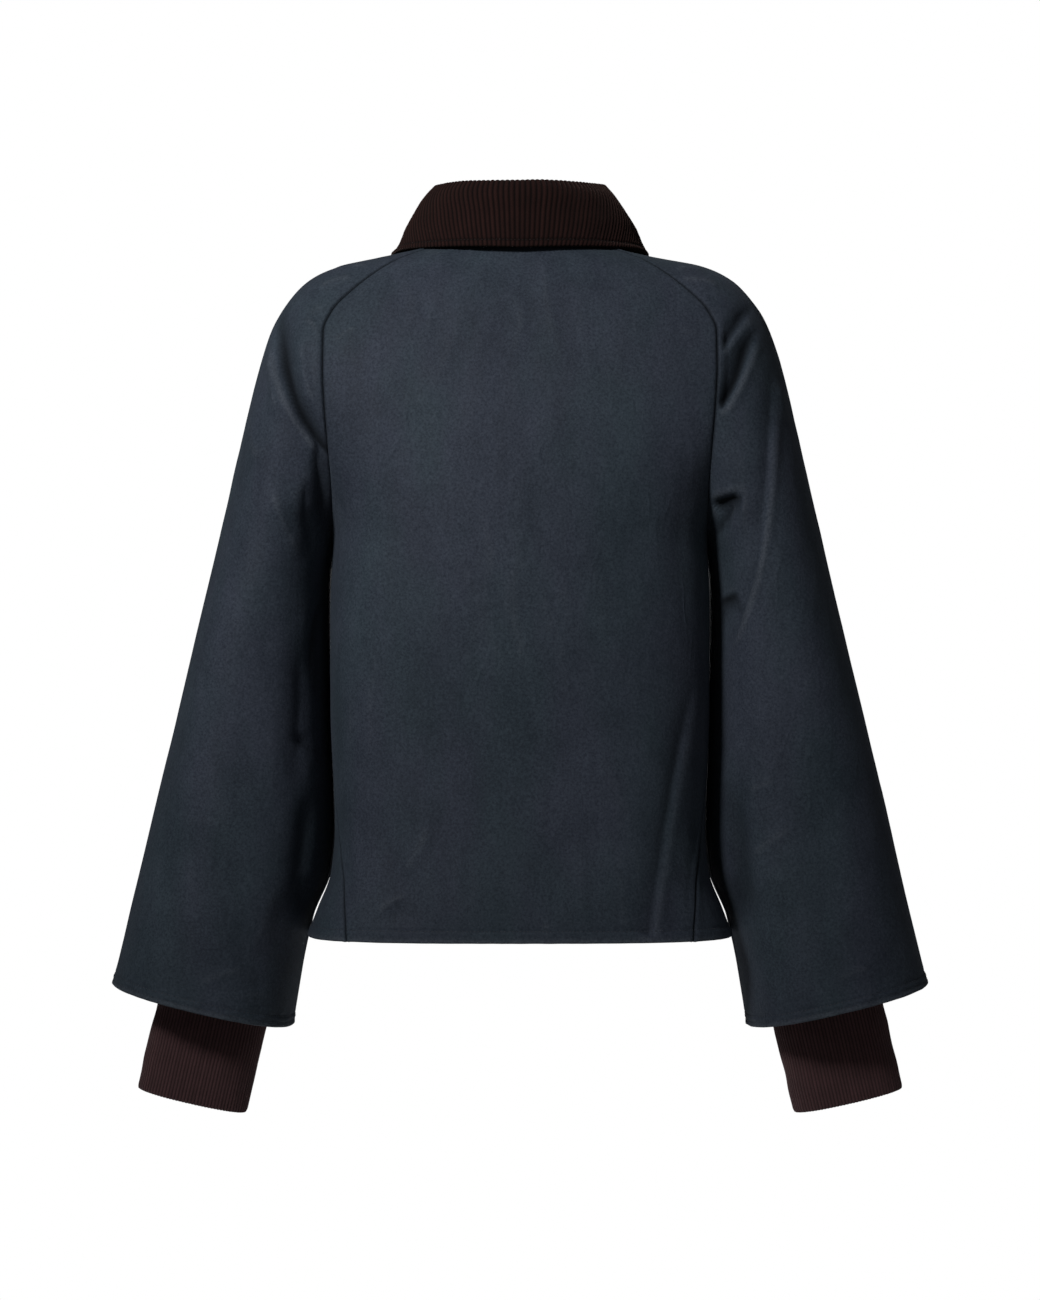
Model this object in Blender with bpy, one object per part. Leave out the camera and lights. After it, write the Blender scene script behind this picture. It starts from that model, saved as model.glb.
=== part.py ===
"""Short waxed cotton jacket: raglan sleeves, corduroy collar, rib storm cuffs and a front zip.

Metres, +Z up. The jacket hangs filled out, as on its wearer. It faces -Y, its back is at +Y and
the wearer's left is +X. The origin lies between the shoulders at the base of the neck.
The tables are in millimetres and degrees, and MM turns their lengths into metres.
"""
import math

import bmesh
import bpy
import numpy as np
from mathutils import Matrix, Vector

MM = 0.001
CLOTH = 1.8 * MM            # waxed cotton with its seams and backing
CORDUROY = 2.4 * MM         # collar cloth, two layers
RIB = 2.2 * MM              # rib knit
TAPE = 1.0 * MM             # zip tape
SEAM_GAP = 0.3 * MM         # between two pieces that are sewn together
UNDERARM_GAP = 0.6 * MM     # where four of them meet

TORSO_BOXINESS = 3.2        # exponent of the body's rounded oblong section
SLEEVE_BOXINESS = 2.4
UNDERARM_BOXINESS = 2.0     # the sleeve's ring leaves the body quickly at the underarm
UNDERARM_RELIEF = 0.25      # share of the sleeve over which that changes
FRONT_EDGE = 6.0 * MM       # from the centre line to each front's edge
NECK_WIDTH = 70.0 * MM      # half the width of the neck seam
NECK_BACK = 58.0 * MM
NECK_FRONT = -78.0 * MM
BACK_NECK_TURN = 55.0       # degrees round the neck from its back to the back raglan seam
FRONT_NECK_TURN = 118.0     # and to the front raglan seam
NECK_END_TURN = 175.0       # and to the front edge

BACK_COLUMNS = 22           # quads across the back
FRONT_COLUMNS = 10
SLEEVE_COLUMNS = 28
BODY_ROWS = 9               # from the hem to the underarm
FOLD_FADE_COLUMNS = 3.0     # over which the folds fade out towards the raglan seams
SEAM_ALONG_ROWS = 4         # from the underarm up, where the raglan seam runs along the rows
NECK_START = 0.9            # share of the raglan seam from which the rows run into the neck seam
SHOULDER_TURN = 88.0        # degrees round the neck to the top of the sleeve
DENSE = 181                 # points on a curve before it is divided evenly
FOLD_POINTS = 13            # points on a fold's path
LEAST_MATCH = 0.2           # normals that agree less than this aren't shared across a seam
SHARP_ANGLE = 35.0          # edges of the hardware that stay sharp, in degrees

WALES = 128                 # ribs of the corduroy round the collar
WALE_HEIGHT = 0.6 * MM
WALES_PER_LINING_PANEL = 4
CUFF_RIBS = 72
CUFF_RIB_HEIGHT = 0.7 * MM
RIBS_PER_LINING_PANEL = 3


def columns(names, *rows):
    """A table with named columns; the first column is the one it is read by."""
    return dict(zip(names.split(), np.array(rows, float).T))


TORSO = columns(
    "z     width  back  front  side_turn",
    (-556, 173.0, 118,  112,   44),
    (-535, 165.0, 117,  112,   50),
    (-505, 154.0, 115,  111,   61),
    (-470, 151.0, 113,  110,   71),
    (-420, 152.5, 112,  110,   79),
    (-366, 154.5, 113,  111,   87),
    (-300, 154.5, 116,  114,   90),
    (-240, 153.0, 118,  116,   90),
)
# The raglan seams, the centre lines and the sleeve's outer line, from the underarm to the neck.
# turn is the angle at which the sleeve's section leaves its seam: -90 is a closed ring.
RAGLAN = columns(
    "share back_x back_z front_x front_z outer_x outer_z turn depth mid_y",
    (0.00, 153.0, -240,  153.0,  -240,   251.8,  -256.0, -90,  86.0, 0.0),
    (0.03, 152.6, -237,  152.5,  -237,   249.2,  -245.0, -78,  87.0, 0.0),
    (0.08, 151.8, -227,  151.4,  -228,   244.8,  -227.0, -66,  88.0, 0.0),
    (0.18, 151.0, -200,  149.5,  -203,   234.5,  -184.0, -44,  91.0, 0.5),
    (0.30, 153.0, -165,  151.0,  -170,   224.0,  -140.0, -22,  94.0, 1.0),
    (0.42, 155.5, -131,  152.0,  -139,   213.8,  -98.0,  -6,   96.0, 1.0),
    (0.54, 157.0, -98,   151.0,  -106,   202.5,  -62.5,   8,   93.5, 1.0),
    (0.64, 157.0, -71,   147.0,  -82,    189.0,  -40.0,   18,  88.0, 1.0),
    (0.72, 150.5, -54,   138.0,  -67,    173.0,  -23.5,   26,  85.0, 1.0),
    (0.80, 132.0, -34,   122.0,  -51,    150.0,  -12.0,   34,  81.0, 0.5),
    (0.90, 99.0,  -10,   95.0,   -29,    114.0,  -4.5,    42,  69.0, 0.0),
    (1.00, 57.3,  6.5,   61.8,   -12,    70.0,   2.0,     50,  51.0, -6.0),
)
CENTRES = columns(
    "share back_y back_z front_y front_z",
    (0.00, 118,   -240,  -116,   -240),
    (0.03, 118,   -237,  -116,   -238),
    (0.08, 118,   -227,  -116,   -230),
    (0.18, 117,   -200,  -115,   -209),
    (0.30, 115,   -165,  -113,   -181),
    (0.42, 111,   -131,  -110,   -154),
    (0.54, 105,   -98,   -105,   -128),
    (0.64, 99,    -71,   -100,   -110),
    (0.72, 94,    -54,   -96,    -100),
    (0.80, 86,    -34,   -92,    -91),
    (0.90, 72,    -10,   -86,    -80),
    (1.00, 58,    12,    -78,    -70),
)
# The sleeve below the underarm, where its sections are closed rings. press lays its inner side
# towards the body, just in front of the middle.
SLEEVE = columns(
    "share inner_x inner_z outer_x outer_z depth mid_y press",
    (0.00, 153.0,  -240,   251.8,  -256,   86,   0,    0.0),
    (0.10, 157.5,  -275,   259.9,  -290,   87,   -2,   4.0),
    (0.25, 158.2,  -330,   273.2,  -345,   87,   -6,   4.5),
    (0.42, 157.8,  -395,   288.0,  -407,   87,   -9,   5.0),
    (0.60, 156.0,  -465,   303.2,  -470,   88,   -11,  5.0),
    (0.69, 159.6,  -505,   311.2,  -503,   88.5, -12,  5.0),
    (0.78, 173.8,  -545,   318.8,  -535,   89,   -12,  3.8),
    (0.90, 180.5,  -590,   327.2,  -570,   89,   -12,  0.8),
    (1.00, 187.0,  -632,   333.6,  -597,   89,   -12,  0.0),
)
PRESS_Y = -42.0 * MM
PRESS_WIDTH = 30.0 * MM
SLEEVE_LEAN = 0.2           # sideways for each unit down, near the underarm
SLEEVE_RINGS = (0.0, 0.06, 0.14, 0.24, 0.35, 0.46, 0.57, 0.68, 0.78, 0.89, 1.0)
SKIRT_RING = 8              # the sleeve ring that carries the storm cuff's skirt
# Body sections above the underarm: part of a rounded oblong, cut off at the stop angle.
SHOULDER = columns(
    "share boxiness stop rise",
    (0.00, 3.2,     90,  1.0),
    (0.03, 3.2,     87,  1.0),
    (0.08, 3.2,     81,  1.0),
    (0.18, 3.1,     64,  1.0),
    (0.30, 3.0,     48,  1.1),
    (0.42, 2.8,     45,  1.2),
    (0.54, 2.6,     42,  1.4),
    (0.80, 2.4,     42,  1.8),
    (1.00, 2.2,     45,  2.0),
)
NECK_HEIGHT = columns(
    "turn z",
    (0,   12),
    (55,  6.5),
    (88,  2),
    (118, -12),
    (150, -48),
    (175, -70),
    (180, -71),
)
# Folds, each on a curve from start over bend to end as seen from behind; depth below 0 is a trough.
SLEEVE_FOLDS = columns(
    "side start_x start_z bend_x bend_z end_x end_z width depth",
    (+1,  193,    -44,    205,   -98,   162,  -155, 10,   -5.0),
    (+1,  176,    -66,    176,   -100,  164,  -125, 13,   3.0),
    (+1,  172,    -288,   176,   -400,  196,  -520, 15,   -6.0),
    (+1,  250,    -380,   246,   -430,  225,  -500, 30,   3.5),
    (-1,  189,    -42,    164,   -62,   166,  -122, 10,   -4.5),
    (-1,  199,    -62,    190,   -98,   166,  -128, 9,    3.0),
    (-1,  206,    -84,    213,   -235,  166,  -331, 10,   -4.0),
    (-1,  176,    -400,   184,   -450,  206,  -520, 18,   -5.0),
)
BACK_FOLDS = columns(
    "side start_x start_z bend_x bend_z end_x end_z width depth",
    (-1,  141,    -345,   128,   -440,  106,  -556, 9,    -3.5),
    (+1,  95,     -556,   100,   -500,  120,  -440, 16,   -2.5),
    (+1,  -20,    -556,   -28,   -480,  -20,  -400, 24,   -2.5),
)

# Collar: the loops of its fold and of its outer edge, round the neck from the back.
FOLD_WIDTH = 70.0 * MM
FOLD_BACK = 60.0 * MM
FOLD_FRONT = -84.0 * MM
EDGE_WIDTH = 106.0 * MM
EDGE_BACK = 76.0 * MM
EDGE_FRONT = -110.0 * MM
COLLAR_END_TURN = 174.0     # degrees round the neck to the collar's front ends
COLLAR_POINT_TURN = 152.0   # and to the points of its outer edge
COLLAR_LEAN = 0.43          # how much wider apart the wales are at the edge than at the fold
FOLD_REACH = 4.0 * MM       # from the fold's line out to the fall and in to the stand
FOLD_RISE = 1.0 * MM
FOLD_DROP = 2.4 * MM        # from the fold's line down to where the fall leaves it
FALL_CROWN = 1.5 * MM       # how far the middle of the fall stands out
SIDE_CROWN = 8.0 * MM       # and how much further at the sides of the neck
FOOT_RISE = 1.6 * MM        # the stand's foot above the neck seam
COLLAR_HEIGHTS = columns(
    "turn fold edge",
    (0,   51.5, -2.0),
    (45,  53,  -0.6),
    (65,  54,  1.2),
    (80,  55,  1.2),
    (100, 46,  -2),
    (125, 18,  -22),
    (150, -18, -62),
    (180, -44, -92),
)

# Storm cuffs: flat oval rib tubes on the sleeve's axis, hung from a skirt inside the sleeve.
LINING = 1.0 * MM
CUFF_TOP = np.array([248.0, -12.0, -600.0]) * MM
CUFF_BOTTOM = np.array([269.8, -12.0, -694.4]) * MM
CUFF_HALF_WIDTH = 45.4 * MM
CUFF_HALF_DEPTH = 30.0 * MM
CUFF_ROUNDNESS = 0.8        # exponent of the oval; 1 is an ellipse
CUFF_EDGE = 3.0 * MM        # height of its rounded lower edge
CUFF_EDGE_TUCK = 0.985
SKIRT_SHARES = (0.0, 0.35, 0.7, 1.0)

# Zip: a tape behind each front edge, and a slider with its pull tab near the neck.
TAPE_INNER_X = 1.2 * MM
TAPE_OUTER_X = 15.0 * MM
SLIDER_Z = -95.5 * MM
SLIDER_CLEARANCE = 0.4 * MM
SLIDER_WIDTH = 9.0 * MM
SLIDER_HEIGHT = 11.0 * MM
FRONT_PLATE = 1.4 * MM
BACK_PLATE = 1.2 * MM
POST_WIDTH = 1.4 * MM
POST_HEIGHT = 4.0 * MM
PIN_RADIUS = 0.8 * MM
PIN_REACH = 2.6 * MM        # from the front plate's face to the pin's axis
LUG_WIDTH = 1.0 * MM
LUG_HEIGHT = 2.4 * MM
EYE_LENGTH = 4.0 * MM
EYE_CLEARANCE = 0.3 * MM    # from the eye's ends to the lugs
EYE_OUTER = 2.0 * MM
EYE_INNER = 1.2 * MM
EYE_SIDES = 16
TAB_WIDTH = 6.0 * MM
TAB_THICKNESS = 1.2 * MM
TAB_TOP = 2.7 * MM          # below the pin's axis, where the tab reaches its full width
TAB_LENGTH = 27.0 * MM
OVERLAP = 0.3 * MM          # that pieces of one solid share before they are united

WAX_NAVY = ("waxed_navy", (0.030, 0.037, 0.047, 1.0), 0.55, 0.0)
CORD_BROWN = ("corduroy_brown", (0.022, 0.010, 0.009, 1.0), 0.9, 0.0)
RIB_BROWN = ("rib_brown", (0.020, 0.011, 0.012, 1.0), 0.95, 0.0)
LINING_DARK = ("skirt_lining", (0.020, 0.022, 0.026, 1.0), 0.8, 0.0)
TAPE_NAVY = ("zip_tape", (0.018, 0.020, 0.026, 1.0), 0.85, 0.0)
ANTIQUE_BRASS = ("antique_brass", (0.45, 0.33, 0.16, 1.0), 0.35, 1.0)


# ---------------------------------------------------------------- curves and sections

def read(table, name, at):
    """A column's value at 'at', on a smooth curve that never overshoots the table's rows."""
    keys = next(iter(table.values()))
    values = table[name]
    steps = np.diff(keys)
    rises = np.diff(values) / steps
    slopes = np.concatenate([rises[:1], rises[:-1], rises[-1:]])
    product = rises[:-1] * rises[1:]
    total = np.where(np.abs(rises[:-1] + rises[1:]) > 1e-12, rises[:-1] + rises[1:], 1.0)
    slopes[1:-1] = np.where(product > 0, 2 * product / total, 0.0)
    at = np.clip(at, keys[0], keys[-1])
    row = np.clip(np.searchsorted(keys, at, side="right") - 1, 0, len(keys) - 2)
    t = (at - keys[row]) / steps[row]
    start = (1 + 2 * t) * (1 - t) ** 2 * values[row] + t * (1 - t) ** 2 * steps[row] * slopes[row]
    end = t * t * (3 - 2 * t) * values[row + 1] + t * t * (t - 1) * steps[row] * slopes[row + 1]
    return start + end


def power(value, exponent):
    """A power that keeps the sign."""
    return np.sign(value) * np.abs(value) ** exponent


def points(x, y, z):
    return np.stack(np.broadcast_arrays(x, y, z), axis=-1).astype(float)


def divide(curve, count):
    """The curve's points, spread evenly along its length."""
    lengths = np.linalg.norm(np.diff(curve, axis=0), axis=1)
    along = np.concatenate([[0.0], np.cumsum(lengths)])
    places = np.linspace(0.0, along[-1], count + 1)
    return np.stack([np.interp(places, along, curve[:, axis]) for axis in range(3)], axis=1)


def neck(turn):
    """The neck seam at an angle round from the back, on the wearer's left."""
    angle = np.radians(turn)
    middle = (NECK_BACK + NECK_FRONT) / 2
    reach = (NECK_BACK - NECK_FRONT) / 2
    return points(NECK_WIDTH * np.sin(angle), middle + reach * np.cos(angle),
                  read(NECK_HEIGHT, "z", turn) * MM)


def torso_curve(z, start, end):
    """A stretch of the body's section at a height in mm, between two angles from the back."""
    angle = np.radians(np.linspace(start, end, DENSE))
    power_of = 2 / TORSO_BOXINESS
    depth = np.where(np.cos(angle) >= 0, read(TORSO, "back", z), read(TORSO, "front", z))
    x = read(TORSO, "width", z) * power(np.sin(angle), power_of)
    y = depth * power(np.cos(angle), power_of)
    return points(x * MM, y * MM, z * MM)


def near_neck(share):
    """How far a row at this share of the raglan seam has run into the neck seam."""
    return max(0.0, (share - NECK_START) / (1.0 - NECK_START))


def boxiness(share):
    """Of the sleeve's section, at a share of the way up or down from the underarm."""
    near = max(0.0, 1.0 - share / UNDERARM_RELIEF)
    return SLEEVE_BOXINESS + (UNDERARM_BOXINESS - SLEEVE_BOXINESS) * near


def seam_point(share, face):
    """A point of the raglan seam; face is +1 on the back and -1 on the front."""
    name = "back" if face > 0 else "front"
    turn = np.radians(read(RAGLAN, "turn", share))
    reach = read(RAGLAN, "depth", share) * np.abs(np.cos(turn)) ** (2 / boxiness(share))
    y = read(RAGLAN, "mid_y", share) + face * reach
    point = points(read(RAGLAN, name + "_x", share) * MM, y * MM, read(RAGLAN, name + "_z", share) * MM)
    at_neck = neck(BACK_NECK_TURN if face > 0 else FRONT_NECK_TURN)
    return point + (at_neck - point) * near_neck(share)


def shoulder_curve(share, face):
    """The body's section above the underarm, from the centre or front edge to the raglan seam."""
    seam = seam_point(share, face)
    name = "back" if face > 0 else "front"
    inner_x = 0.0 if face > 0 else FRONT_EDGE
    centre = np.array([inner_x, read(CENTRES, name + "_y", share) * MM, read(CENTRES, name + "_z", share) * MM])
    stop = math.radians(read(SHOULDER, "stop", share))
    angle = np.linspace(0.0, stop, DENSE)
    power_of = 2 / read(SHOULDER, "boxiness", share)
    across = (np.sin(angle) / math.sin(stop)) ** power_of
    side = math.cos(stop) ** power_of
    deep = (np.cos(angle) ** power_of - side) / (1 - side)
    rise = across ** read(SHOULDER, "rise", share)
    curve = points(centre[0] + (seam[0] - centre[0]) * across,
                   seam[1] + (centre[1] - seam[1]) * deep,
                   centre[2] + (seam[2] - centre[2]) * rise)
    if face > 0:
        turns = np.linspace(0.0, BACK_NECK_TURN, DENSE)
    else:
        turns = np.linspace(NECK_END_TURN, FRONT_NECK_TURN, DENSE)
    along = np.concatenate([[0.0], np.cumsum(np.linalg.norm(np.diff(curve, axis=0), axis=1))])
    rim = neck(turns)
    spread = np.linspace(0.0, 1.0, DENSE)
    rim = np.stack([np.interp(along / along[-1], spread, rim[:, axis]) for axis in range(3)], axis=1)
    return curve + (rim - curve) * near_neck(share)


def half_ring(share, seam, outer, turn, depth, mid_y, face):
    """Half of a sleeve section, from its seam (or underarm) point round to its outer line."""
    start = math.radians(turn)
    angle = np.linspace(start, math.pi / 2, DENSE)
    power_of = 2 / boxiness(share)
    lift = float(power(math.sin(start), power_of))
    middle = (seam - lift * outer) / (1 - lift)
    across = power(np.sin(angle), power_of)[:, None]
    curve = middle + (outer - middle) * across
    curve[:, 1] = mid_y + face * depth * power(np.cos(angle), power_of)
    return curve


def tongue_row(share):
    """A sleeve section above the underarm, from the front seam over the shoulder to the back seam."""
    outer = points(read(RAGLAN, "outer_x", share) * MM, 0.0, read(RAGLAN, "outer_z", share) * MM)
    turn = read(RAGLAN, "turn", share)
    mid_y = read(RAGLAN, "mid_y", share) * MM
    halves = []
    for face in (-1, 1):
        seam = seam_point(share, face)
        depth = read(RAGLAN, "depth", share) * MM
        curve = half_ring(share, seam, outer, turn, depth, mid_y, face)
        turns = np.linspace(BACK_NECK_TURN if face > 0 else FRONT_NECK_TURN, SHOULDER_TURN, DENSE)
        curve += (neck(turns) - curve) * near_neck(share)
        halves.append(divide(curve, SLEEVE_COLUMNS // 2))
    return np.concatenate([halves[0], halves[1][-2::-1]])


def press_to_body(curve, share):
    """Half a sleeve section with its inner side laid towards the body."""
    inner_x, outer_x = curve[0, 0], curve[-1, 0]
    inside = np.clip(1 - 2 * (curve[:, 0] - inner_x) / (outer_x - inner_x), 0.0, 1.0)
    reach = np.exp(-((curve[:, 1] - PRESS_Y) / PRESS_WIDTH) ** 2)
    curve[:, 0] -= read(SLEEVE, "press", share) * MM * inside * reach
    return curve


def ring_row(share):
    """A closed sleeve section below the underarm, starting and ending at its inner line."""
    inner = points(read(SLEEVE, "inner_x", share) * MM, 0.0, read(SLEEVE, "inner_z", share) * MM)
    outer = points(read(SLEEVE, "outer_x", share) * MM, 0.0, read(SLEEVE, "outer_z", share) * MM)
    depth = read(SLEEVE, "depth", share) * MM
    mid_y = read(SLEEVE, "mid_y", share) * MM
    halves = []
    for face in (-1, 1):
        curve = half_ring(share, inner, outer, -90.0, depth, mid_y, face)
        halves.append(divide(press_to_body(curve, share), SLEEVE_COLUMNS // 2))
    return np.concatenate([halves[0], halves[1][-2::-1]])


# ---------------------------------------------------------------- grids of the cloth pieces

def left_sleeve_grid():
    """Rows from the hem to the neck; columns from the front seam over the outside to the back."""
    rings = [ring_row(share) for share in SLEEVE_RINGS[:0:-1]]
    return np.array(rings + [tongue_row(share) for share in RAGLAN["share"]])


def body_heights():
    return np.linspace(TORSO["z"][0], TORSO["z"][-1], BODY_ROWS + 1)[:-1]


def back_grid():
    """Rows from the hem to the neck; columns from the wearer's left to the right."""
    rows = []
    for z in body_heights():
        half = divide(torso_curve(z, 0.0, read(TORSO, "side_turn", z)), BACK_COLUMNS // 2)
        rows.append(half)
    for share in RAGLAN["share"]:
        rows.append(divide(shoulder_curve(share, 1), BACK_COLUMNS // 2))
    half = np.array(rows)
    return np.concatenate([half[:, ::-1], half[:, 1:] * (-1, 1, 1)], axis=1)


def left_front_grid():
    """Rows from the hem to the neck; columns from the front edge to the side."""
    rows = []
    for z in body_heights():
        width = read(TORSO, "width", z) * MM
        edge_turn = 180.0 - math.degrees(math.asin((FRONT_EDGE / width) ** (TORSO_BOXINESS / 2)))
        rows.append(divide(torso_curve(z, edge_turn, read(TORSO, "side_turn", z)), FRONT_COLUMNS))
    for share in RAGLAN["share"]:
        rows.append(divide(shoulder_curve(share, -1), FRONT_COLUMNS))
    return np.array(rows)


def mirrored(grid):
    """The grid on the wearer's right, with its columns turned so that it still faces out."""
    return grid[:, ::-1] * (-1, 1, 1)


def grid_normals(grid, closed_rows=0, underarm=None, lean=0.0):
    """Unit normals; the first closed_rows rows are rings whose end columns are the same point.

    Just above the underarm row the seam runs along the rows, so there the piece's own upward
    direction, which leans sideways by lean, takes the place of the columns'.
    """
    across = np.gradient(grid, axis=1)
    if closed_rows:
        wrap = (grid[:closed_rows, 1] - grid[:closed_rows, -2]) / 2
        across[:closed_rows, 0] = wrap
        across[:closed_rows, -1] = wrap
    along = np.gradient(grid, axis=0)
    if underarm is not None:
        along[underarm:underarm + SEAM_ALONG_ROWS] = (lean, 0.0, 1.0)
    normals = np.cross(across, along)
    normals /= np.linalg.norm(normals, axis=2, keepdims=True)
    if closed_rows:
        both = normals[:closed_rows, 0] + normals[:closed_rows, -1]
        both /= np.linalg.norm(both, axis=1, keepdims=True)
        normals[:closed_rows, 0] = both
        normals[:closed_rows, -1] = both
    return normals


def fold_path(row, folds):
    """A fold's path across the cloth, in the X and Z of the view from behind."""
    t = np.linspace(0.0, 1.0, FOLD_POINTS)[:, None]
    start, bend, end = (np.array([folds[name + "_x"][row], folds[name + "_z"][row]]) * MM
                        for name in ("start", "bend", "end"))
    return (1 - t) ** 2 * start + 2 * t * (1 - t) * bend + t * t * end


def fold_heights(grid, folds, side):
    """How far each point of a grid is moved along its normal by the folds of one side."""
    heights = np.zeros(grid.shape[:2])
    place = grid[:, :, (0, 2)] * (side, 1)
    for row in np.flatnonzero(folds["side"] == side):
        path = fold_path(row, folds)
        distance = np.full(heights.shape, 1.0)
        for a, b in zip(path[:-1], path[1:]):
            step = b - a
            share = np.clip(((place - a) @ step) / (step @ step), 0.0, 1.0)
            distance = np.minimum(distance, np.linalg.norm(place - a - share[..., None] * step, axis=2))
        width = folds["width"][row] * MM
        heights += folds["depth"][row] * MM * np.exp(-(distance / width) ** 2)
    return heights


def press_folds(grid, normals, folds, side, seam_rows=0):
    """The grid with its folds, on the front as on the back, fading out towards the raglan seams."""
    heights = fold_heights(grid, folds, side)
    if seam_rows:
        columns_in = np.minimum(np.arange(grid.shape[1]), np.arange(grid.shape[1])[::-1])
        fade = np.clip(columns_in / FOLD_FADE_COLUMNS, 0.0, 1.0)
        heights[-seam_rows:] *= fade
    return grid + normals * heights[..., None]


# ---------------------------------------------------------------- walls

class Wall:
    """A cloth wall between an outer and an inner grid of points."""

    def __init__(self, outer, normals, thickness):
        self.outer = outer.copy()
        self.normals = normals.copy()
        self.thickness = thickness
        self.shift = np.zeros_like(outer)

    def inner(self):
        return self.outer - self.normals * self.thickness + self.shift

    def edge(self, rows, column):
        """An edge's points, and the directions from them into the piece."""
        neighbour = 1 if column == 0 else -2
        inward = self.outer[rows, neighbour] - self.outer[rows, column]
        return inward / np.linalg.norm(inward, axis=1, keepdims=True)


def sew(first, first_rows, first_column, second, second_rows, second_column):
    """Opens the seam gap between two edges whose points are the same, and lets them share normals."""
    a = first.edge(first_rows, first_column)
    b = second.edge(second_rows, second_column)
    apart = a - b
    apart /= np.linalg.norm(apart, axis=1, keepdims=True)
    first.shift[first_rows, first_column] += apart * SEAM_GAP / 2
    second.shift[second_rows, second_column] -= apart * SEAM_GAP / 2
    n1 = first.normals[first_rows, first_column]
    n2 = second.normals[second_rows, second_column]
    alike = (n1 * n2).sum(axis=1, keepdims=True) > LEAST_MATCH
    shared = n1 + n2
    shared /= np.maximum(np.linalg.norm(shared, axis=1, keepdims=True), 1e-9)
    first.normals[first_rows, first_column] = np.where(alike, shared, n1)
    second.normals[second_rows, second_column] = np.where(alike, shared, n2)


def material(finish):
    name, colour, roughness, metallic = finish
    found = bpy.data.materials.get(name)
    if found:
        return found
    made = bpy.data.materials.new(name)
    made.use_nodes = True
    shader = made.node_tree.nodes["Principled BSDF"]
    shader.inputs["Base Color"].default_value = colour
    shader.inputs["Roughness"].default_value = roughness
    shader.inputs["Metallic"].default_value = metallic
    made.diffuse_color = colour
    return made


def add_mesh(name, vertices, faces, finish, collection):
    """A named object from faces; points in the same place are welded."""
    mesh = bpy.data.meshes.new(name)
    mesh.from_pydata([tuple(v) for v in vertices], [], faces)
    work = bmesh.new()
    work.from_mesh(mesh)
    bmesh.ops.remove_doubles(work, verts=work.verts, dist=1e-6)
    bmesh.ops.recalc_face_normals(work, faces=work.faces)
    work.to_mesh(mesh)
    work.free()
    mesh.shade_smooth()
    mesh.materials.append(material(finish))
    made = bpy.data.objects.new(name, mesh)
    collection.objects.link(made)
    return made


def band(first, second, places):
    """Triangles between two rows of vertex numbers, split along each quad's shorter diagonal."""
    faces = []
    for i in range(len(first) - 1):
        a, b, c, d = first[i], first[i + 1], second[i + 1], second[i]
        if np.linalg.norm(places[a] - places[c]) <= np.linalg.norm(places[b] - places[d]):
            faces += [(a, b, c), (a, c, d)]
        else:
            faces += [(a, b, d), (b, c, d)]
    return faces


def fan(first, second):
    """Triangles between a row and a coarser one; the first has a whole multiple of its steps."""
    ratio = (len(first) - 1) // (len(second) - 1)
    faces = []
    for panel in range(len(second) - 1):
        start = panel * ratio
        half = start + ratio // 2
        end = start + ratio
        faces += [(first[i], first[i + 1], second[panel]) for i in range(start, half)]
        faces.append((first[half], second[panel + 1], second[panel]))
        faces += [(first[i], first[i + 1], second[panel + 1]) for i in range(half, end)]
    return faces


def wall_object(name, outer, inner, finish, collection, side_rows=()):
    """A closed wall from an outer and an inner grid; side_rows are the rows whose ends are open."""
    rows, wide = outer.shape[:2]
    narrow = inner.shape[1]
    out = np.arange(rows * wide).reshape(rows, wide)
    inn = np.arange(rows * narrow).reshape(rows, narrow) + rows * wide
    vertices = np.concatenate([outer.reshape(-1, 3), inner.reshape(-1, 3)])
    # The inner side repeats the outer side's diagonals, so that the two never cross.
    guide = vertices
    if narrow == wide:
        guide = np.concatenate([outer.reshape(-1, 3)] * 2)
    faces = []
    for row in range(rows - 1):
        faces += band(out[row], out[row + 1], guide)
        faces += [face[::-1] for face in band(inn[row], inn[row + 1], guide)]
    faces += [face[::-1] for face in fan(out[0], inn[0])]
    faces += fan(out[-1], inn[-1])
    # Rims that face each other on two pieces are split along the same diagonal.
    for row in side_rows:
        a, b, c, d = out[row, 0], out[row + 1, 0], inn[row + 1, 0], inn[row, 0]
        faces += [(a, b, c), (a, c, d)]
        a, b, c, d = out[row, -1], out[row + 1, -1], inn[row + 1, -1], inn[row, -1]
        faces += [(c, b, a), (d, c, a)]
    faces = [tuple(int(i) for i in face) for face in faces]
    return add_mesh(name, vertices, faces, finish, collection)


# ---------------------------------------------------------------- pieces

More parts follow.
